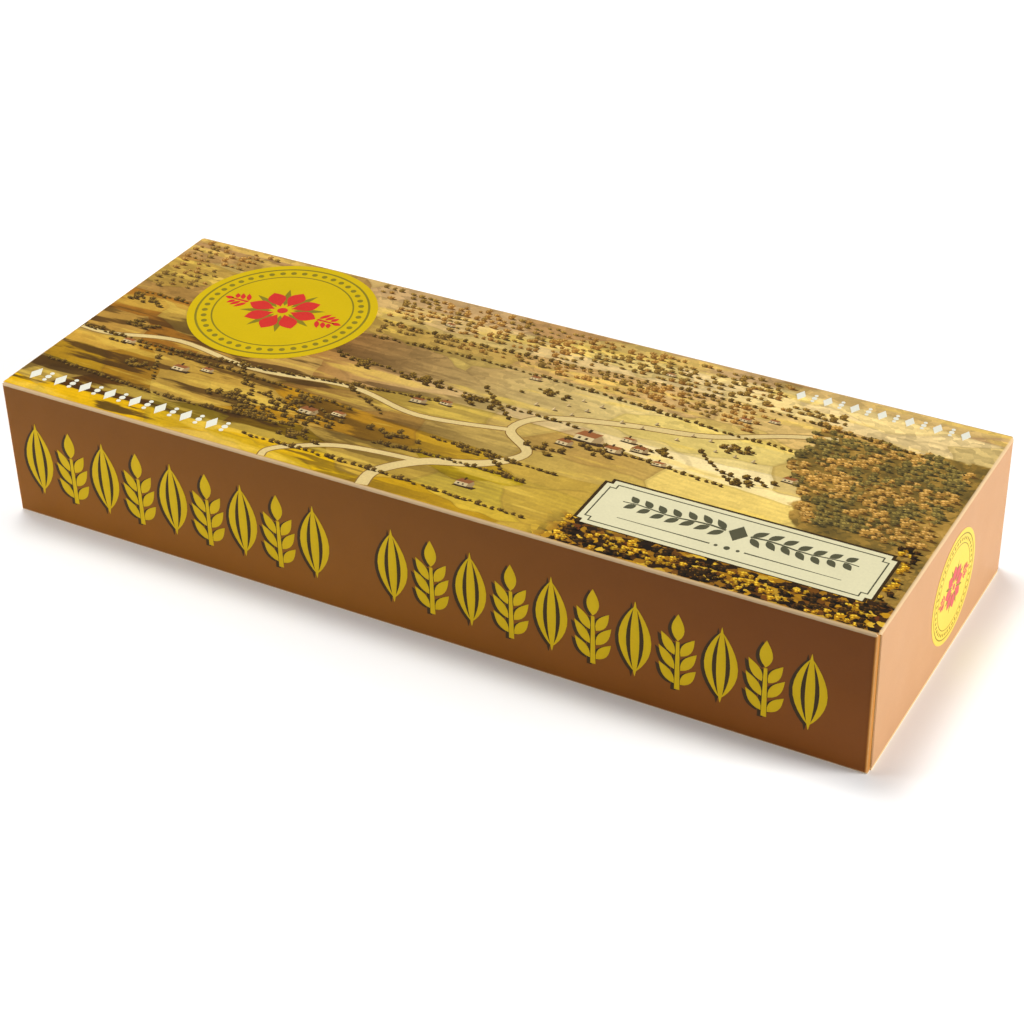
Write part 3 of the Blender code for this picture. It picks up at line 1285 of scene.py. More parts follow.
# %% Nut
FRIEZE_FOOT = 9.0
FRIEZE_HEIGHT = 25.0
FRIEZE_BLOCKS = ((11.2, 9, 12.35), (136.0, 11, 12.65))
NUT_HALF = 4.9
NUT_STEPS = 14
NUT_SPINE = (-0.28, 0.28, 0.0, 0.008)
NUT_SLICES = ((-1.0, -0.54, 1.6, 0.0), NUT_SPINE, (0.54, 1.0, 1.6, 0.0))
SHADOW_SLICES = ((-1.0, 1.0, 1.6, 0.0), NUT_SPINE)
SHADOW_SHIFT = (-1.1, -0.5)
INK = 0.02


def nut_side(share, foot, height):
    """A line from foot to tip of the nut, at a share of its half width."""
    line = []
    for step in range(NUT_STEPS + 1):
        s = 0.5 - 0.5 * math.cos(math.pi * step / NUT_STEPS)
        bulge = math.sin(math.pi * s) ** 0.8 * (1.08 - 0.16 * s)
        line.append((NUT_HALF * share * bulge, foot + height * s))
    return line


def draw_nut(bm, height, slices):
    """A nut in slices from (inner, outer, shorten, lift): a lifted one lies over the others."""
    for inner, outer, shorten, lift in slices:
        span = (FRIEZE_FOOT + shorten, FRIEZE_HEIGHT - 2 * shorten)
        left = list(reversed(nut_side(inner, *span)))
        slab(bm, nut_side(outer, *span) + left[1:-1], height + lift)


print("a nut is", 2 * NUT_HALF, "mm wide")

# %% Leaf and sprig
SPRIG_NECK = 9.0
SPRIG_LEAVES = ((1.8, 5.5, 6.0), (6.6, 5.6, 6.8), (11.4, 4.9, 6.6))


def leaf_outline(root, tip, half_width, steps=7, skew=0.85):
    """A leaf from its root to its tip; skew under 1 makes it fullest before its middle."""
    root, tip = Vector(root), Vector(tip)
    run = tip - root
    side = Vector((-run.y, run.x)).normalized() * half_width
    right, left = [], []
    for step in range(1, steps):
        s = step / steps
        bulge = math.sin(math.pi * s ** skew)
        right.append(root + run * s - side * bulge)
        left.append(root + run * s + side * bulge)
    return [tuple(p) for p in [root] + right + [tip] + list(reversed(left))]


def draw_sprig(bm, height):
    """A stem with three pairs of leaves and one at its tip."""
    top = FRIEZE_FOOT + FRIEZE_HEIGHT
    slab(bm, leaf_outline((0, top - SPRIG_NECK + 0.2), (0, top), 1.9), height)
    stroke(bm, [(0, FRIEZE_FOOT), (0, top - SPRIG_NECK)], [1.6, 1.0], height)
    for foot, reach, rise in SPRIG_LEAVES:
        for sign in (-1, 1):
            root = (sign * 0.9, FRIEZE_FOOT + foot)
            tip = (sign * reach, FRIEZE_FOOT + foot + rise)
            slab(bm, leaf_outline(root, tip, 1.5), height)


print("a sprig has", 2 * len(SPRIG_LEAVES) + 1, "leaves")

# %% Frieze rows
def frieze_row(name, side, finish, height, slices, shift=(0.0, 0.0)):
    """Both blocks of the frieze on one long side."""
    nut, sprig = start_motif(), start_motif()
    draw_nut(nut, height, slices)
    draw_sprig(sprig, height)
    values = lettered(motif_object("nut", nut), motif_object("sprig", sprig))
    rows = []
    for start, count, pitch in FRIEZE_BLOCKS:
        values.update({"Count": count, "Start": (start + shift[0], shift[1], 0.0),
                       "Pitch": pitch, "Finish": finish})
        rows.append(grow(name, frieze, values, side))
    return joined_piece(name, rows)


# Each finished piece, with the name of a slot
PIECES = []
yellow_print = printed_finish("yellow_print", ink(204, 170, 0), mottle=0.05, specks=0.1)
shadow_print = printed_finish("shadow_print", ink(58, 42, 18), mottle=0.1, specks=0.2)
for side in ("front", "back"):
    shadows = frieze_row(side + "_shadows", side, shadow_print, INK, SHADOW_SLICES, SHADOW_SHIFT)
    figures = frieze_row(side + "_frieze", side, yellow_print, 2 * INK, NUT_SLICES)
    PIECES += [(shadows, "dark_ink"), (figures, "yellow_ink")]
print("frieze figures a side:", sum(block[1] for block in FRIEZE_BLOCKS))

# %% [markdown]
# ## The medallions
# A round yellow seal sits on the top's far left, and a smaller one on each closure panel. It
# holds two olive rings with beads between them, and a red flower with a red spray at each side.
# The beads and petals are one motif each, set round by the ring tree. The drawing is made once,
# at the top's size, and the panel's matrix scales it for the ends, where its yellow and red are
# paler: a painted sheen of the strong light on the ends.

# %% Medallion sizes and lines
SEAL_RADIUS = 30.0
SEAL_PLACE = (52.0, 75.2)
END_SEAL_RADIUS = 17.0
END_SEAL_PLACE = (60.0, 22.6)
SEAL_LIFT = 0.09
MIDDLE_LIFT = SEAL_LIFT + INK
MARK_LIFT = SEAL_LIFT + 2 * INK
RING_LINES = ((27.6, 26.9), (22.5, 22.0))
SPRAY_LEAVES = ((13.2, 4.6), (15.4, 3.9), (17.4, 3.1))
ROUND_STEPS = 96
BEADS, BEAD_SIZE, BEAD_RING = 44, 0.95, 24.7
PETALS = 8
AT_CENTRE = 0.001


def seal_matrix(panel, centre, radius):
    """Puts the medallion's own drawing on a panel."""
    share = radius / SEAL_RADIUS
    size = Matrix.Diagonal((share, share, 1.0, 1.0))
    return PANELS[panel] @ Matrix.Translation((*centre, 0.0)) @ size


def circle_line(radius):
    """Points round a circle."""
    return [(radius * math.cos(a), radius * math.sin(a)) for a in round_turns(ROUND_STEPS)]


def ringed(name, motif, count, radius, turn, finish, place):
    """A motif set round the medallion's middle."""
    values = {"Count": count, "Radius": radius, "Offset Turn": turn, "Motif": motif,
              "Finish": finish}
    return grow(name, ring, values, place)


print("medallions", 2 * SEAL_RADIUS, "and", 2 * END_SEAL_RADIUS, "mm across")

# %% Disc and rings
def seal_disc(name, place, finish):
    """The yellow disc."""
    return drawn_piece(name, drawing((circle_line(SEAL_RADIUS), SEAL_LIFT)), finish, place)


def seal_rings(name, place):
    """Two olive rings with beads between them, and the flower's sepals."""
    parts = []
    for outer, inner in RING_LINES:
        bm = start_motif()
        band(bm, circle_line(outer), circle_line(inner), MIDDLE_LIFT, closed=True)
        parts.append(drawn_piece(name, bm, olive_print, place))
    bead = oval((0, 0), BEAD_SIZE, BEAD_SIZE, 10)
    bead = motif_object("bead", drawing((bead, MIDDLE_LIFT)))
    sepal = leaf_outline((3.2, 0), (13.6, 0), 1.1)
    sepal = motif_object("sepal", drawing((sepal, MIDDLE_LIFT)))
    parts.append(ringed(name, bead, BEADS, BEAD_RING, 0.0, olive_print, place))
    parts.append(ringed(name, sepal, PETALS, AT_CENTRE, math.pi / PETALS, olive_print, place))
    return joined_piece(name, parts)


print("beads round a medallion:", BEADS)

# %% Flower
def seal_flower(name, place, finish):
    """The red flower, and the spray of leaves at each side of it."""
    petal = leaf_outline((2.8, 0), (12.2, 0), 2.9, 10, 1.25)
    petal = motif_object("petal", drawing((petal, MARK_LIFT)))
    parts = [ringed(name, petal, PETALS, AT_CENTRE, 0.0, finish, place)]
    bm = drawing((oval((0, 0), 1.7, 1.7, 16), MARK_LIFT))
    for sign in (-1, 1):
        stroke(bm, [(sign * 13.0, 0), (sign * 19.0, 0)], [1.0, 0.6], MARK_LIFT)
        slab(bm, leaf_outline((sign * 18.4, 0), (sign * 21.6, 0), 0.9, 6), MARK_LIFT)
        for start, reach in SPRAY_LEAVES:
            for lean in (-1, 1):
                root = (sign * start, lean * 0.7)
                tip = (sign * (start + reach * 0.5), lean * (0.7 + reach * 0.86))
                slab(bm, leaf_outline(root, tip, 0.8, 6), MARK_LIFT)
    parts.append(drawn_piece(name, bm, finish, place))
    return joined_piece(name, parts)


print("a flower has", PETALS, "petals")

# %% Three medallions
seal_print = printed_finish("seal_print", ink(203, 172, 0), mottle=0.06, specks=0.1)
olive_print = printed_finish("olive_print", ink(132, 118, 28), mottle=0.1, specks=0.2)
red_print = printed_finish("red_print", ink(204, 48, 40), mottle=0.08, specks=0.2)
# painted sheen: the ends' yellow and red are the same inks made paler, as the strong light shows
# them
pale_seal_print = printed_finish("pale_seal_print", ink(220, 188, 74), mottle=0.06, specks=0.1)
pale_red_print = printed_finish("pale_red_print", ink(196, 80, 84), mottle=0.08, specks=0.2)
LEFT_SEAL_PLACE = (WIDTH - END_SEAL_PLACE[0], END_SEAL_PLACE[1])
Seal = namedtuple("Seal", "name place disc flower")
SEALS = [
    Seal("top_seal", seal_matrix("top", SEAL_PLACE, SEAL_RADIUS), seal_print, red_print),
    Seal("right_seal", seal_matrix("right", END_SEAL_PLACE, END_SEAL_RADIUS),
         pale_seal_print, pale_red_print),
    Seal("left_seal", seal_matrix("left", LEFT_SEAL_PLACE, END_SEAL_RADIUS),
         pale_seal_print, pale_red_print),
]
for seal in SEALS:
    PIECES += [(seal_disc(seal.name + "_disc", seal.place, seal.disc), "yellow_ink"),
               (seal_rings(seal.name + "_rings", seal.place), "earth_ink"),
               (seal_flower(seal.name + "_flower", seal.place, seal.flower), "red_ink")]
print("medallions:", [seal.name for seal in SEALS])

# %% [markdown]
# ## The cream plaque
# At the near right lies a cream plaque with stepped corners and a thin dark frame. It holds a
# garland of grey leaves, parted by a diamond, over a fine rule with beads. The frame is a band
# between two outlines of the same plaque, one set in farther than the other.

# %% Plaque sizes and outlines
PLAQUE = (187.4, 11.9, 272.4, 34.3)
NOTCH = 1.8
FRAME_INSETS = (1.5, 1.9)
SHADE_GROWN = (-1.0, -0.2, 0.9, 0.8)
GARLAND_GAP = 4.4
GARLAND_LEAVES = 8
GARLAND_DROP = 8.6
RULE_RISE = 6.2
RULE_ENDS = 10
RULE_GAP = 5
RULE_BEADS = ((-3.2, 0.55), (0.0, 0.9), (3.2, 0.55))


def stepped_frame(box, inset):
    """A rectangle's outline with a square step at each corner, anticlockwise."""
    u0, v0, u1, v1 = box[0] + inset, box[1] + inset, box[2] - inset, box[3] - inset
    corners = ((u0, v0, 1, 1), (u1, v0, -1, 1), (u1, v1, -1, -1), (u0, v1, 1, -1))
    outline = []
    for u, v, du, dv in corners:
        step = [(u, v + dv * NOTCH), (u + du * NOTCH, v + dv * NOTCH), (u + du * NOTCH, v)]
        outline += step if du == dv else list(reversed(step))
    return outline


def diamond_outline(centre, half_u, half_v):
    """A diamond's four points."""
    u, v = centre
    return [(u, v - half_v), (u + half_u, v), (u, v + half_v), (u - half_u, v)]


print("plaque", round(PLAQUE[2] - PLAQUE[0], 1), "mm long")

# %% Plates and marks
def plaque_plate(name, grown, height, finish):
    """A plate with stepped corners, as far beyond the plaque on each side as grown says."""
    box = [side + more for side, more in zip(PLAQUE, grown)]
    return drawn_piece(name, drawing((stepped_frame(box, 0.0), height)), finish, "top")


def plaque_marks(name):
    """The frame line, the garland and the rule."""
    bm = start_motif()
    band(bm, *[stepped_frame(PLAQUE, inset) for inset in FRAME_INSETS], MARK_LIFT, closed=True)
    middle = (PLAQUE[0] + PLAQUE[2]) / 2
    stem_v = PLAQUE[3] - GARLAND_DROP
    for sign in (-1, 1):
        stem = [(middle + sign * (3.6 + GARLAND_GAP * i), stem_v + 0.5 * math.sin(1.3 * i))
                for i in range(GARLAND_LEAVES)]
        stroke(bm, stem, [0.7 - 0.05 * i for i in range(GARLAND_LEAVES)], MARK_LIFT)
        for i, root in enumerate(stem[:-1]):
            for lean in (-1, 1):
                reach = 4.6 - 0.18 * i
                start = (root[0] + sign * 0.3, root[1] + lean * 0.45)
                tip = (start[0] + sign * reach * 0.8, start[1] + lean * reach * 0.75)
                slab(bm, leaf_outline(start, tip, 1.15, 6), MARK_LIFT)
    slab(bm, diamond_outline((middle, stem_v), 2.8, 3.8), MARK_LIFT)
    rule_v = PLAQUE[1] + RULE_RISE
    for start, end, widths in ((PLAQUE[0] + RULE_ENDS, middle - RULE_GAP, [0.2, 0.5]),
                               (middle + RULE_GAP, PLAQUE[2] - RULE_ENDS, [0.5, 0.2])):
        stroke(bm, [(start, rule_v), (end, rule_v)], widths, MARK_LIFT)
    for offset, radius in RULE_BEADS:
        slab(bm, oval((middle + offset, rule_v), radius, radius, 10), MARK_LIFT)
    return drawn_piece(name, bm, grey_print, "top")


print("garland leaves:", 4 * (GARLAND_LEAVES - 1))

# %% Plaque pieces
cream_print = printed_finish("cream_print", ink(220, 212, 172), mottle=0.06, specks=0.12)
grey_print = printed_finish("grey_print", ink(84, 82, 60), mottle=0.1, specks=0.2)
shade_edge = plaque_plate("plaque_shade", SHADE_GROWN, SEAL_LIFT, shadow_print)
cream_field = plaque_plate("plaque_card", (0, 0, 0, 0), MIDDLE_LIFT, cream_print)
PIECES += [(shade_edge, "dark_ink"), (cream_field, "cream_ink"),
           (plaque_marks("plaque_marks"), "dark_ink")]
print("plaque pieces:", shade_edge.name, cream_field.name)

# %% [markdown]
# ## Two white ornament rows
# Near the front left corner and near the far right one, a short row of small white figures runs
# along the top's edge. Diamonds and beads take turns here.

# %% White rows
WhiteRow = namedtuple("WhiteRow", "name start middle count pitch tall")
WHITE_ROWS = (WhiteRow("near_white_row", 6.6, 9.3, 16, 4.57, 6.4),
              WhiteRow("far_white_row", 217.0, 100.0, 13, 4.2, 5.4))


def row_motifs(tall):
    """A slim upright diamond, and three beads one above the other."""
    slim = (diamond_outline((0, 0), tall * 0.27, tall / 2), SEAL_LIFT)
    beads = [(oval((0, tall * share), tall * size, tall * size, 10), SEAL_LIFT)
             for share, size in ((-0.3, 0.11), (0.0, 0.15), (0.3, 0.11))]
    return lettered(motif_object("diamond", drawing(slim)),
                    motif_object("bead_stack", drawing(*beads)))


white_print = printed_finish("white_print", ink(226, 224, 206), mottle=0.05, specks=0.1)
for row in WHITE_ROWS:
    values = {"Count": row.count, "Start": (row.start, row.middle, 0.0), "Pitch": row.pitch,
              **row_motifs(row.tall), "Finish": white_print}
    PIECES.append((grow(row.name, frieze, values, "top"), "cream_ink"))
print("white rows:", [row.name for row in WHITE_ROWS])

# %% [markdown]
# ## Trees for the picture
# Three tree drawings serve the orchards, the hedges and the woods. Each is a cast shadow, a
# ragged crown and four dabs of leaves, three lit and one in shade. Their shade numbers pick the
# inks, so one drawing gives a tan orchard tree or a dark wood, by the finish alone. The shadow
# and the crown are very low domes: where two trees overlap, their surfaces cross cleanly, which
# two flat ones in one plane would not.

# %% Drawing a tree
SHADE, CROWN, LIT = 0.1, 0.4, 0.7
LEAF_DABS = ((-0.50, 0.42, 0.62, LIT), (0.12, 0.60, 0.46, LIT), (-0.28, -0.24, 0.40, LIT),
             (0.52, -0.36, 0.56, SHADE))
CROWN_POINTS = 10
CROWN_HALF = 1.4
CROWN_RISE = 1.3
CROWN_MIDDLE = 1.05
DAB_LIFT = 0.028


def leafy_outline(centre, half_u, half_v, draw):
    """A crown's outline: every other point is drawn in, and all of them a little at random."""
    outline = []
    for step, a in enumerate(round_turns(CROWN_POINTS)):
        reach = (1.0 if step % 2 else 0.80) * draw.uniform(0.88, 1.12)
        outline.append((centre[0] + half_u * reach * math.cos(a),
                        centre[1] + half_v * reach * math.sin(a)))
    return outline


def tree_motif(name, seed, tall=1.0):
    """A tree about 3 mm across, its foot at (0, 0): cast shadow, crown and dabs of leaves."""
    draw = random.Random(seed)
    bm = start_motif()
    slab(bm, oval((0.95, 0.2), 1.5, 0.5, 6, 0.08, seed), 0.002, SHADE, 0.006)
    middle = CROWN_MIDDLE * tall
    crown = leafy_outline((0, middle), CROWN_HALF, CROWN_RISE * tall, draw)
    slab(bm, crown, 0.006, CROWN, 0.018)
    for share_u, share_v, size, shade in LEAF_DABS:
        u = CROWN_HALF * share_u + draw.uniform(-0.1, 0.1)
        v = middle + CROWN_RISE * tall * share_v + draw.uniform(-0.1, 0.1)
        lean = draw.uniform(-0.4, 0.5) * size
        dab = [(u - size, v - lean * 0.5), (u + lean * 0.4, v - size * 0.62),
               (u + size * 0.9, v + lean * 0.5), (u - lean * 0.4, v + size * 0.7)]
        slab(bm, dab, DAB_LIFT, shade)
    return motif_object(name, bm)


print("a tree has", len(LEAF_DABS), "dabs of leaves")

# %% Three trees and their inks
def tree_inks(shade, crown, lit):
    """Stops that give a tree's three shade numbers their inks."""
    return ((0.0, ink(*shade)), (0.25, ink(*crown)), (0.55, ink(*lit)))


TREES = [tree_motif("round_tree", 3), tree_motif("broad_tree", 8, 0.8),
         tree_motif("tall_tree", 14, 1.35)]
orchard_print = printed_finish("orchard_print", shaded_inks(
    tree_inks((96, 62, 24), (150, 104, 42), (204, 158, 80)), 0.4,
    tree_inks((76, 56, 26), (122, 92, 38), (172, 136, 62)), 16.0), mottle=0.2)
hedge_print = printed_finish("hedge_print", shaded_inks(
    tree_inks((52, 36, 16), (84, 62, 24), (142, 110, 40)), 0.4), mottle=0.2)
wood_print = printed_finish("wood_print", shaded_inks(
    tree_inks((62, 54, 30), (106, 90, 44), (152, 130, 62)), 0.4,
    tree_inks((88, 62, 26), (160, 118, 50), (212, 166, 86)), 15.0, 0.49), mottle=0.25)
thicket_print = printed_finish("thicket_print", shaded_inks(
    tree_inks((18, 14, 8), (46, 32, 14), (96, 62, 20)), 0.5,
    tree_inks((60, 36, 12), (164, 116, 16), (228, 186, 50)), 6.0, 0.5), mottle=0.25)
print("trees:", [tree.name for tree in TREES])

# %% [markdown]
# ## Where the trees stand
# Orchard and wood trees stand in loose rows inside a stretch between two lines across the
# picture. The nearer a tree, the higher it lies, by a hair, so that it overlaps those behind it.
# Places under the medallion, the plaque and the white rows are skipped. Copses are small clumps
# round chosen places, and one denser wood lies on the near slope, left of the middle.

# %% Places to stand
NEAR_LIFT = 0.06
ROWS = 26
EDGE_ROOM = 3.6
COPSES = [(16, 48), (30, 27), (66, 24), (74, 19), (88, 33), (112, 57), (134, 55), (150, 67),
          (164, 40), (192, 52), (176, 45), (212, 64), (120, 27), (98, 14), (146, 30), (10, 62),
          (92, 58), (222, 50)]
COPSE_TREES = 13
COPSE_SPREAD = 3.4
FRONT_ROOM = 1.5
TREE_TURN = 0.12


def standing(u, v):
    """A place on the ground with its lift: none at the back edge, most at the front edge."""
    return (u, v, NEAR_LIFT * (1 - v / WIDTH))


def under_ornament(u, v, margin=2.6):
    """Whether a place lies under, or close to, an ornament."""
    if math.hypot(u - SEAL_PLACE[0], v - SEAL_PLACE[1]) < SEAL_RADIUS + margin:
        return True
    boxes = [PLAQUE]
    for row in WHITE_ROWS:
        boxes.append((row.start - 2, row.middle - row.tall / 2 - 1,
                      row.start + row.pitch * row.count, row.middle + row.tall / 2))
    side = margin * 0.6
    return any(u0 - side < u < u1 + side and v0 - margin < v < v1 + margin * 0.4
               for u0, v0, u1, v1 in boxes)


print(len(COPSES), "copses")

# %% Rows and copses
def planted_rows(start, end, far_line, near_line, pitch, depth, stray, seed, fill=1.0):
    """Rows of places from a far line down to a near line; both are functions of u."""
    draw = random.Random(seed)
    places = []
    for row in range(ROWS):
        shift = pitch * 0.5 * (row % 2)
        for column in range(int((end - start) / pitch)):
            u = start + shift + pitch * column + draw.uniform(-stray, stray)
            v = far_line(u) - depth * (row + 0.6) + draw.uniform(-stray, stray) * 0.5
            kept = draw.random() < fill
            if kept and v > near_line(u) and u < LENGTH - EDGE_ROOM and not under_ornament(u, v):
                places.append(standing(u, v))
    return places


def scattered(name, motifs, places, smallest, largest, turn, seed, finish):
    """Copies of three motifs on a list of places, kept as one piece."""
    values = {**lettered(*motifs), "Smallest": smallest, "Largest": largest, "Turn": turn,
              "Seed": seed, "Finish": finish}
    return grow(name, scatter, values, "top", points_mesh(places))


def copse_places(middles, count, spread, seed):
    """Small woods round their middles, each wider than it is deep."""
    draw = random.Random(seed)
    trees = [(u + draw.gauss(0, spread), v + draw.gauss(0, spread * 0.34))
             for u, v in middles for step in range(count)]
    return [standing(u, v) for u, v in trees if not under_ornament(u, v) and v > FRONT_ROOM]


print("helpers: planted_rows, scattered, copse_places")

# %% Plant them
far_orchard = planted_rows(84, 236, lambda u: 103.5, lambda u: crest_at(RISES[1], u) + 1.0,
                           2.7, 2.4, 0.8, 21, 0.85)
mid_orchard = planted_rows(80, 214, lambda u: crest_at(RISES[1], u) - 1.5,
                           lambda u: crest_at(RISES[2], u) + 2.2, 2.6, 2.3, 0.8, 22, 0.85)
left_orchard = planted_rows(3, 84, lambda u: 104, lambda u: 68 + 0.2 * u, 2.9, 2.6, 0.7, 23, 0.7)
wood = planted_rows(229, 281, lambda u: 88 - 0.10 * (u - 229),
                    lambda u: 39 + 26 * max(0.0, (240 - u) / 12), 2.7, 2.3, 0.9, 24, 0.9)
thicket = planted_rows(186, 280, lambda u: 13.2, lambda u: 1.2, 2.5, 2.1, 0.8, 28, 0.9)
thicket += planted_rows(271, 280, lambda u: 39.0, lambda u: 13.0, 2.4, 2.1, 0.6, 29, 0.9)
copses = copse_places(COPSES, COPSE_TREES, COPSE_SPREAD, 27)
copses += planted_rows(66, 106, lambda u: 33.5 - 0.10 * (u - 66),
                       lambda u: 15 + 0.35 * abs(u - 82), 2.6, 2.2, 0.8, 30, 0.8)
for name, places, smallest, largest, seed, finish, slot in (
        ("orchards", far_orchard + mid_orchard + left_orchard, 0.5, 1.05, 31, orchard_print,
         "earth_ink"),
        ("woods", wood, 0.7, 1.35, 32, wood_print, "earth_ink"),
        ("thicket", thicket, 0.6, 1.2, 34, thicket_print, "dark_ink"),
        ("copses", copses, 0.5, 1.0, 33, hedge_print, "dark_ink")):
    grown = scattered(name, TREES, places, smallest, largest, TREE_TURN, seed, finish)
    PIECES.append((grown, slot))
    print(name, len(places), "trees")

# %% [markdown]
# ## Hedges
# A hedge runs along part of most crests, and down some field edges. The path tree strings small
# trees along each line.

# %% Hedges
HEDGE_STEP = 4.0
TREE_FOOT = 1.2
HEDGE_TREES = {"Stray": 0.35, "Smallest": 0.42, "Largest": 0.86, "Turn": 0.15}
HEDGE_SEED, EDGE_SEED, EDGE_PITCH = 40, 60, 1.9
Hedge = namedtuple("Hedge", "rise start end drop pitch")
HEDGES = [Hedge(1, 84, 262, 0.3, 2.6), Hedge(2, 82, 226, 0.2, 2.3), Hedge(3, 6, 38, 0.2, 2.2),
          Hedge(3, 74, 168, 0.2, 2.5), Hedge(4, 2, 128, 0.3, 1.9), Hedge(4, 176, 216, 0.3, 2.3),
          Hedge(5, 14, 104, 0.2, 2.1), Hedge(5, 132, 172, 0.2, 2.2), Hedge(6, 4, 92, 0.4, 1.8),
          Hedge(6, 118, 166, 0.3, 2.0), Hedge(7, 82, 176, 0.2, 2.3)]
FIELD_EDGES = [((132, 62), (146, 50)), ((96, 44), (112, 36)), ((58, 43), (66, 33)),
               ((150, 31), (160, 22)), ((34, 33), (40, 22)), ((204, 58), (218, 47))]


def hedge_line(hedge):
    """Points along a rise's crest."""
    count = int((hedge.end - hedge.start) / HEDGE_STEP)
    line = [hedge.start + HEDGE_STEP * i for i in range(count + 1)]
    return [(u, crest_at(RISES[hedge.rise], u) - hedge.drop - TREE_FOOT) for u in line]


def hedge_piece(name, line, pitch, seed):
    """One hedge along a line, broken where an ornament covers it."""
    kept = [standing(*place) for place in line if not under_ornament(*place, margin=1.4)]
    values = {"Pitch": pitch, "Seed": seed, "Finish": hedge_print, **HEDGE_TREES,
              **lettered(*TREES)}
    return grow(name, along_path, values, "top", points_mesh(kept, as_path=True))


hedges = [hedge_piece("hedges", hedge_line(hedge), hedge.pitch, HEDGE_SEED + index)
          for index, hedge in enumerate(HEDGES)]
hedges += [hedge_piece("hedges", [far, near], EDGE_PITCH, EDGE_SEED + index)
           for index, (far, near) in enumerate(FIELD_EDGES)]
print(len(hedges), "hedges")
PIECES.append((joined_piece("hedges", hedges), "earth_ink"))

# %% [markdown]
# ## Lanes
# A sandy lane winds back through the fields, with two smaller ones off it. Each is a few given
# points, made a smooth curve by the Catmull-Rom rule, and a brush stroke along it over a
# darker, wider one. It gets thinner the farther back it goes, and runs out square at a fold.

# %% Lanes
LANES = [((126.5, 1.05), (126.5, 9), (136, 19), (152, 26), (160, 36), (150, 45), (156, 55),
          (178, 62), (202, 67), (222, 77), (236, 82)),
         ((150, 45), (122, 40), (96, 45), (64, 41), (34, 45), (12, 39.5), (1.1, 39.5)),
         ((136, 19), (112, 16), (98, 9), (93, 4.5), (93, 1.05))]
LANE_WIDTHS = (3.6, 2.3, 2.0)
LANE_STEPS = 7
LANE_LAYER = 0.0015


def smooth_line(points):
    """A smooth curve through given points."""
    ends = [points[0], *points, points[-1]]
    line = []
    for stretch in zip(ends, ends[1:], ends[2:], ends[3:]):
        for step in range(LANE_STEPS):
            t = step / LANE_STEPS
            weights = (-0.5 * t ** 3 + t ** 2 - 0.5 * t, 1.5 * t ** 3 - 2.5 * t ** 2 + 1,
                       -1.5 * t ** 3 + 2 * t ** 2 + 0.5 * t, 0.5 * t ** 3 - 0.5 * t ** 2)
            line.append([sum(weight * point[axis] for weight, point in zip(weights, stretch))
                         for axis in (0, 1)])
    return line + [points[-1]]


def lane_piece(name, extra, height, finish):
    """All lanes, each thinner the farther back it goes."""
    bm = start_motif()
    for level, (points, width) in enumerate(zip(LANES, LANE_WIDTHS)):
        line = smooth_line(points)
        widths = [width * (1.05 - v / 150) + extra for u, v in line]
        stroke(bm, line, widths, height + level * LANE_LAYER)
    return drawn_piece(name, bm, finish, "top")


lane_edge_print = printed_finish("lane_edge_print", ink(132, 98, 46), mottle=0.2, specks=0.3)
lane_print = printed_finish("lane_print", ink(216, 190, 126), mottle=0.14, specks=0.3)
PIECES += [(lane_piece("lane_edges", 0.7, 0.004, lane_edge_print), "earth_ink"),
           (lane_piece("lanes", 0.0, 0.010, lane_print), "earth_ink")]
print(len(LANES), "lanes")

# %% [markdown]
# ## Cottages and stooks
# Cottages stand in a hamlet and singly, and stooks of corn dot the pale meadow. A cottage is
# seven flat shapes: shadow, wall, gable end and roof, each on a layer of its own, and three dark
# spots on top. One finish inks them all by their shade numbers, and the scatter tree sets them
# down one by one, because each has its own size.

# %% Cottage
COTTAGE_INKS = ((0.0, ink(66, 48, 28)), (0.3, ink(214, 190, 138)), (0.5, ink(166, 138, 92)),
                (0.7, ink(150, 92, 50)))
GROUND, WALL, GABLE, ROOF = 0.1, 0.4, 0.6, 0.9
LAYERS = (0.014, 0.022, 0.030, 0.038, 0.046)
DARK_SPOTS = ((-1.0, 2.9, -0.4, 4.2), (-1.9, 0.4, -1.35, 1.1), (-0.4, 0.4, 0.15, 1.1))
HAMLET = [(172, 49, 1.5), (181, 47, 1.0), (188, 50.5, 0.9), (167, 44.5, 0.9), (183, 54, 0.8),
          (196, 46.5, 0.75)]
SINGLE = [(118, 46, 0.9), (126, 48.5, 0.7), (92, 26, 1.1), (101, 29, 0.8), (44, 30, 1.0),
          (52, 33, 0.7), (20, 37, 0.8), (143, 73, 0.65), (208, 79, 0.7), (216, 82, 0.6),
          (152, 13, 1.0), (232, 55, 0.8), (104, 90, 0.55), (178, 93, 0.55)]


def cottage_motif(depth):
    """A cottage: its shadow, lit front wall, gable end and roof, then chimney and windows."""
    floors = [([(-2.9, -0.7), (3.4, -0.7), (4.2, 0.5), (-2.2, 0.5)], GROUND),
              ([(-2.6, 0), (1.2, 0), (1.2, 1.7), (-2.6, 1.7)], WALL),
              ([(1.2, 0), (2.9, 0.4), (2.9, 2.1), (2.0, 3.0), (1.2, 1.7)], GABLE),
              ([(-2.9, 1.6), (1.3, 1.6), (2.2, 3.1 + depth), (-1.9, 3.1 + depth)], ROOF)]
    shapes = [(outline, LAYERS[i], shade) for i, (outline, shade) in enumerate(floors)]
    shapes += [([(u0, v0), (u1, v0), (u1, v1), (u0, v1)], LAYERS[4], GROUND)
               for u0, v0, u1, v1 in DARK_SPOTS]
    return motif_object("cottage", drawing(*shapes))


print(len(HAMLET), "cottages in the hamlet,", len(SINGLE), "on their own")

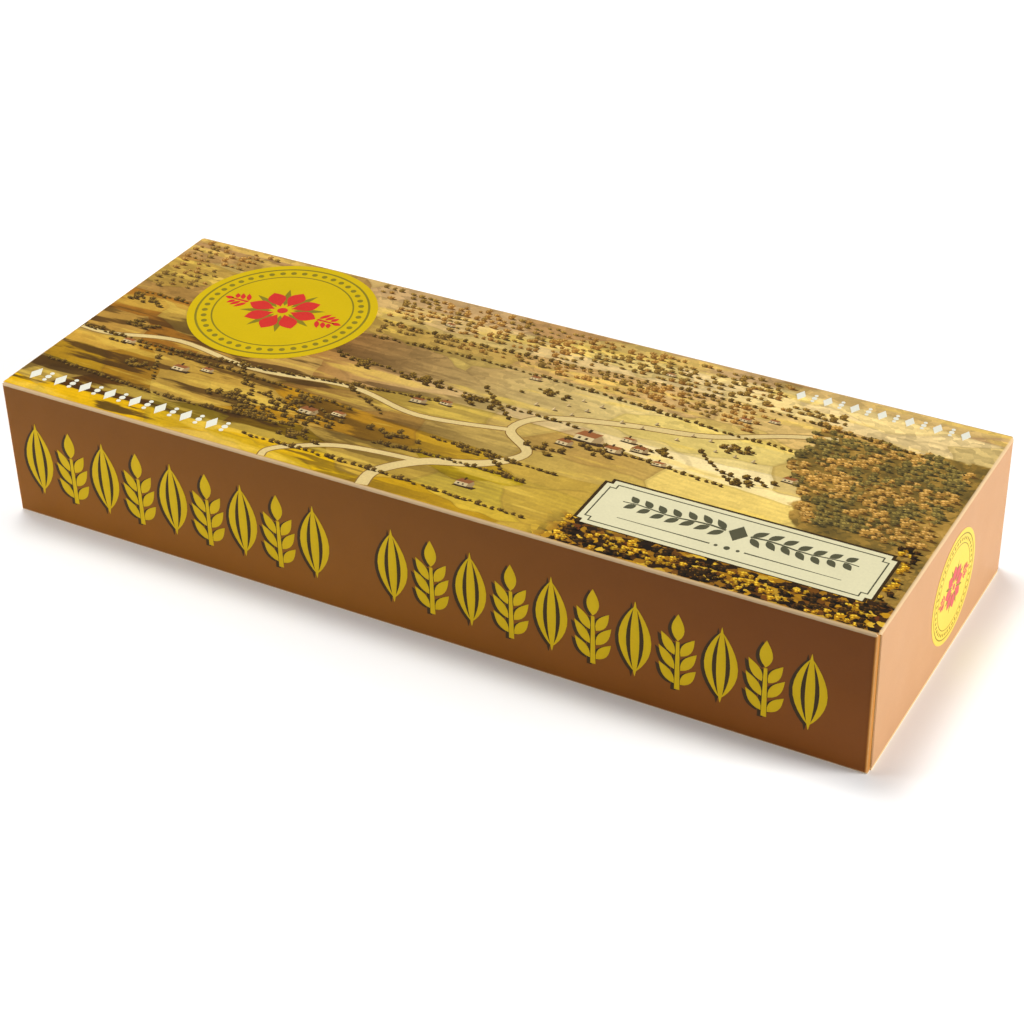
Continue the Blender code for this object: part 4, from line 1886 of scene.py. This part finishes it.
# %% Stook
def stook_motif(lean):
    """A stook of corn with its shadow, its lit side and its shaded side."""
    body = [(-0.65, 0), (0.65, 0), (0.2 + lean, 1.5), (-0.2 + lean, 1.5)]
    lit = [(-0.65, 0), (-0.1, 0), (-0.05 + lean, 1.4), (-0.2 + lean, 1.4)]
    return motif_object("stook", drawing((oval((0.5, 0.0), 0.95, 0.3, 8), LAYERS[0], GROUND),
                                         (body, LAYERS[1], GABLE), (lit, LAYERS[2], WALL)))


print("helper: stook_motif")

# %% The hamlet and the meadow
cottage_print = printed_finish("cottage_print", shaded_inks(COTTAGE_INKS, 0.3), mottle=0.2)
cottages = [cottage_motif(depth) for depth in (0.0, 0.3, -0.3)]
stooks = [stook_motif(lean) for lean in (-0.1, 0.0, 0.12)]
built = [scattered("farmsteads", cottages, [standing(u, v)], size, size, 0.06, 70 + index,
                   cottage_print) for index, (u, v, size) in enumerate(HAMLET + SINGLE)]
field = planted_rows(150, 226, lambda u: crest_at(RISES[2], u) - 5,
                     lambda u: crest_at(RISES[3], u) + 2, 6.0, 4.2, 0.5, 25, 0.6)
built.append(scattered("farmsteads", stooks, field, 0.8, 1.15, 0.05, 90, cottage_print))
PIECES.append((joined_piece("farmsteads", built), "earth_ink"))
print("cottages", len(HAMLET + SINGLE), "stooks", len(field))

# %% [markdown]
# ## Riding
# The carton has no joints, so every piece rides on the one body. The sleeve and the cover sheet
# together stand for the solid. The single motifs have been copied into the pieces and go.

# %% Ride and replace
for motif in MOTIFS:
    bpy.data.objects.remove(motif)
PIECES += [(sleeve, "printed_card"), (cover, "printed_card")]
for piece, slot in PIECES:
    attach(piece, "root")
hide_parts("carton")
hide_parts("carton")
print(len(PIECES), "pieces ride on the root")

# %% [markdown]
# ## Floor and light
# The photograph is lit strongly from the right and a little behind, so the closure end is the
# brightest side and the front is in soft shade. One large lamp does that. It isn't mirrored in
# the print, because its glare would bleach the top for anyone at the left end. A smaller lamp
# high up, a little behind, lights the top and throws a tight shadow at the front's foot. A low
# lamp near the left end lightens the front, most at its left, and a faint one behind lays a
# sheen on the far part of the top. What light the front still gets comes up from the floor,
# which glows like a light table, faintly in the middle and more to its rim, where the lamps no
# longer reach, and fades out into a white sky.

# %% Floor
FLOOR_RADIUS = 1.4
FLOOR_FADE = 0.6
FLOOR_GLOW = 0.32
FLOOR_MIDDLE = (0.25, 0.25, 0.25, 1)
FLOOR_DROP = 0.00005
GLOW_SPAN = (0.25, 0.75)
RIM = 0.05
CLOUD_SIZE = 300
CLOUD_SHADES = ((0.95, 0.95, 0.945, 1), (0.97, 0.97, 0.965, 1))


def floor_finish():
    """A matt, faintly glowing light table that fades out towards its rim, into the white."""
    material = bpy.data.materials.new("studio_floor")
    material.use_nodes = True
    tree = material.node_tree
    shader = tree.nodes["Principled BSDF"]
    place = add(tree, "ShaderNodeTexCoord").outputs["Object"]
    shade = tint(tree, noise(tree, place, CLOUD_SIZE), *CLOUD_SHADES)
    reach = add(tree, "ShaderNodeVectorMath", {0: place}, operation="LENGTH").outputs["Value"]
    solid = ease(tree, reach, FLOOR_RADIUS - RIM, FLOOR_FADE)
    glow = tint(tree, ease(tree, reach, *GLOW_SPAN), FLOOR_MIDDLE, (1, 1, 1, 1))
    feed(tree, shader, {"Base Color": shade, "Alpha": solid, "Emission Color": glow,
                        "Emission Strength": FLOOR_GLOW, "Roughness": 0.9,
                        "Specular IOR Level": 0.1})
    return material


def build_floor():
    """A wide disc just under the carton."""
    bm = bmesh.new()
    bmesh.ops.create_circle(bm, cap_ends=True, segments=ROUND_STEPS, radius=FLOOR_RADIUS)
    mesh = bpy.data.meshes.new("studio_floor")
    bm.to_mesh(mesh)
    bm.free()
    mesh.materials.append(floor_finish())
    made = new_object("studio_floor", mesh)
    made.location.z = -FLOOR_DROP
    return made


build_floor()
print("floor", 2 * FLOOR_RADIUS, "m across")

# %% Lamps
Lamp = namedtuple("Lamp", "name place target size watts mirrored")
LAMPS = [
    Lamp("key_lamp", (2.9, 0.72, 0.9), (0.05, 0, 0.02), (1.25, 1.25), 62, False),
    Lamp("left_fill", (-0.8, -0.4, 0.22), (-0.12, -0.05, 0.02), (0.4, 0.3), 3.1, True),
    Lamp("back_sheen", (-0.75, 1.5, 0.75), (0, 0.03, 0.045), (1.4, 0.6), 0.5, True),
    Lamp("top_lamp", (-0.45, 0.32, 2.4), (0, 0, 0), (0.7, 0.7), 19, True),
]
LAMP_SPREAD = math.radians(130)


def hang(lamp):
    """An area lamp aimed at its target; the spread keeps its light off the far floor."""
    data = bpy.data.lights.new(lamp.name, "AREA")
    data.shape = "RECTANGLE"
    data.size, data.size_y = lamp.size
    data.energy = lamp.watts
    data.spread = LAMP_SPREAD
    made = new_object(lamp.name, data)
    made.visible_camera = False
    made.visible_glossy = lamp.mirrored
    made.location = lamp.place
    aim = Vector(lamp.target) - Vector(lamp.place)
    made.rotation_euler = aim.to_track_quat("-Z", "Y").to_euler()


for lamp in LAMPS:
    hang(lamp)
print("lamps:", {lamp.name: lamp.watts for lamp in LAMPS})

# %% Sky
SKY_COLOUR = (0.93, 0.95, 1.0, 1)
SKY_LIGHT = 0.05
SKY_SEEN = 1.1


def pale_sky(name):
    """Weak light from all round, which looks white where the camera sees it."""
    world = bpy.data.worlds.new(name)
    world.use_nodes = True
    tree = world.node_tree
    seen = add(tree, "ShaderNodeLightPath").outputs["Is Camera Ray"]
    strength = sloped(tree, seen, SKY_SEEN - SKY_LIGHT, SKY_LIGHT)
    feed(tree, tree.nodes["Background"], {"Color": SKY_COLOUR, "Strength": strength})
    return world


bpy.context.scene.world = pale_sky("pale_sky")
bpy.context.scene.view_settings.view_transform = "Standard"
print("sky light", SKY_LIGHT, "and as seen", SKY_SEEN)
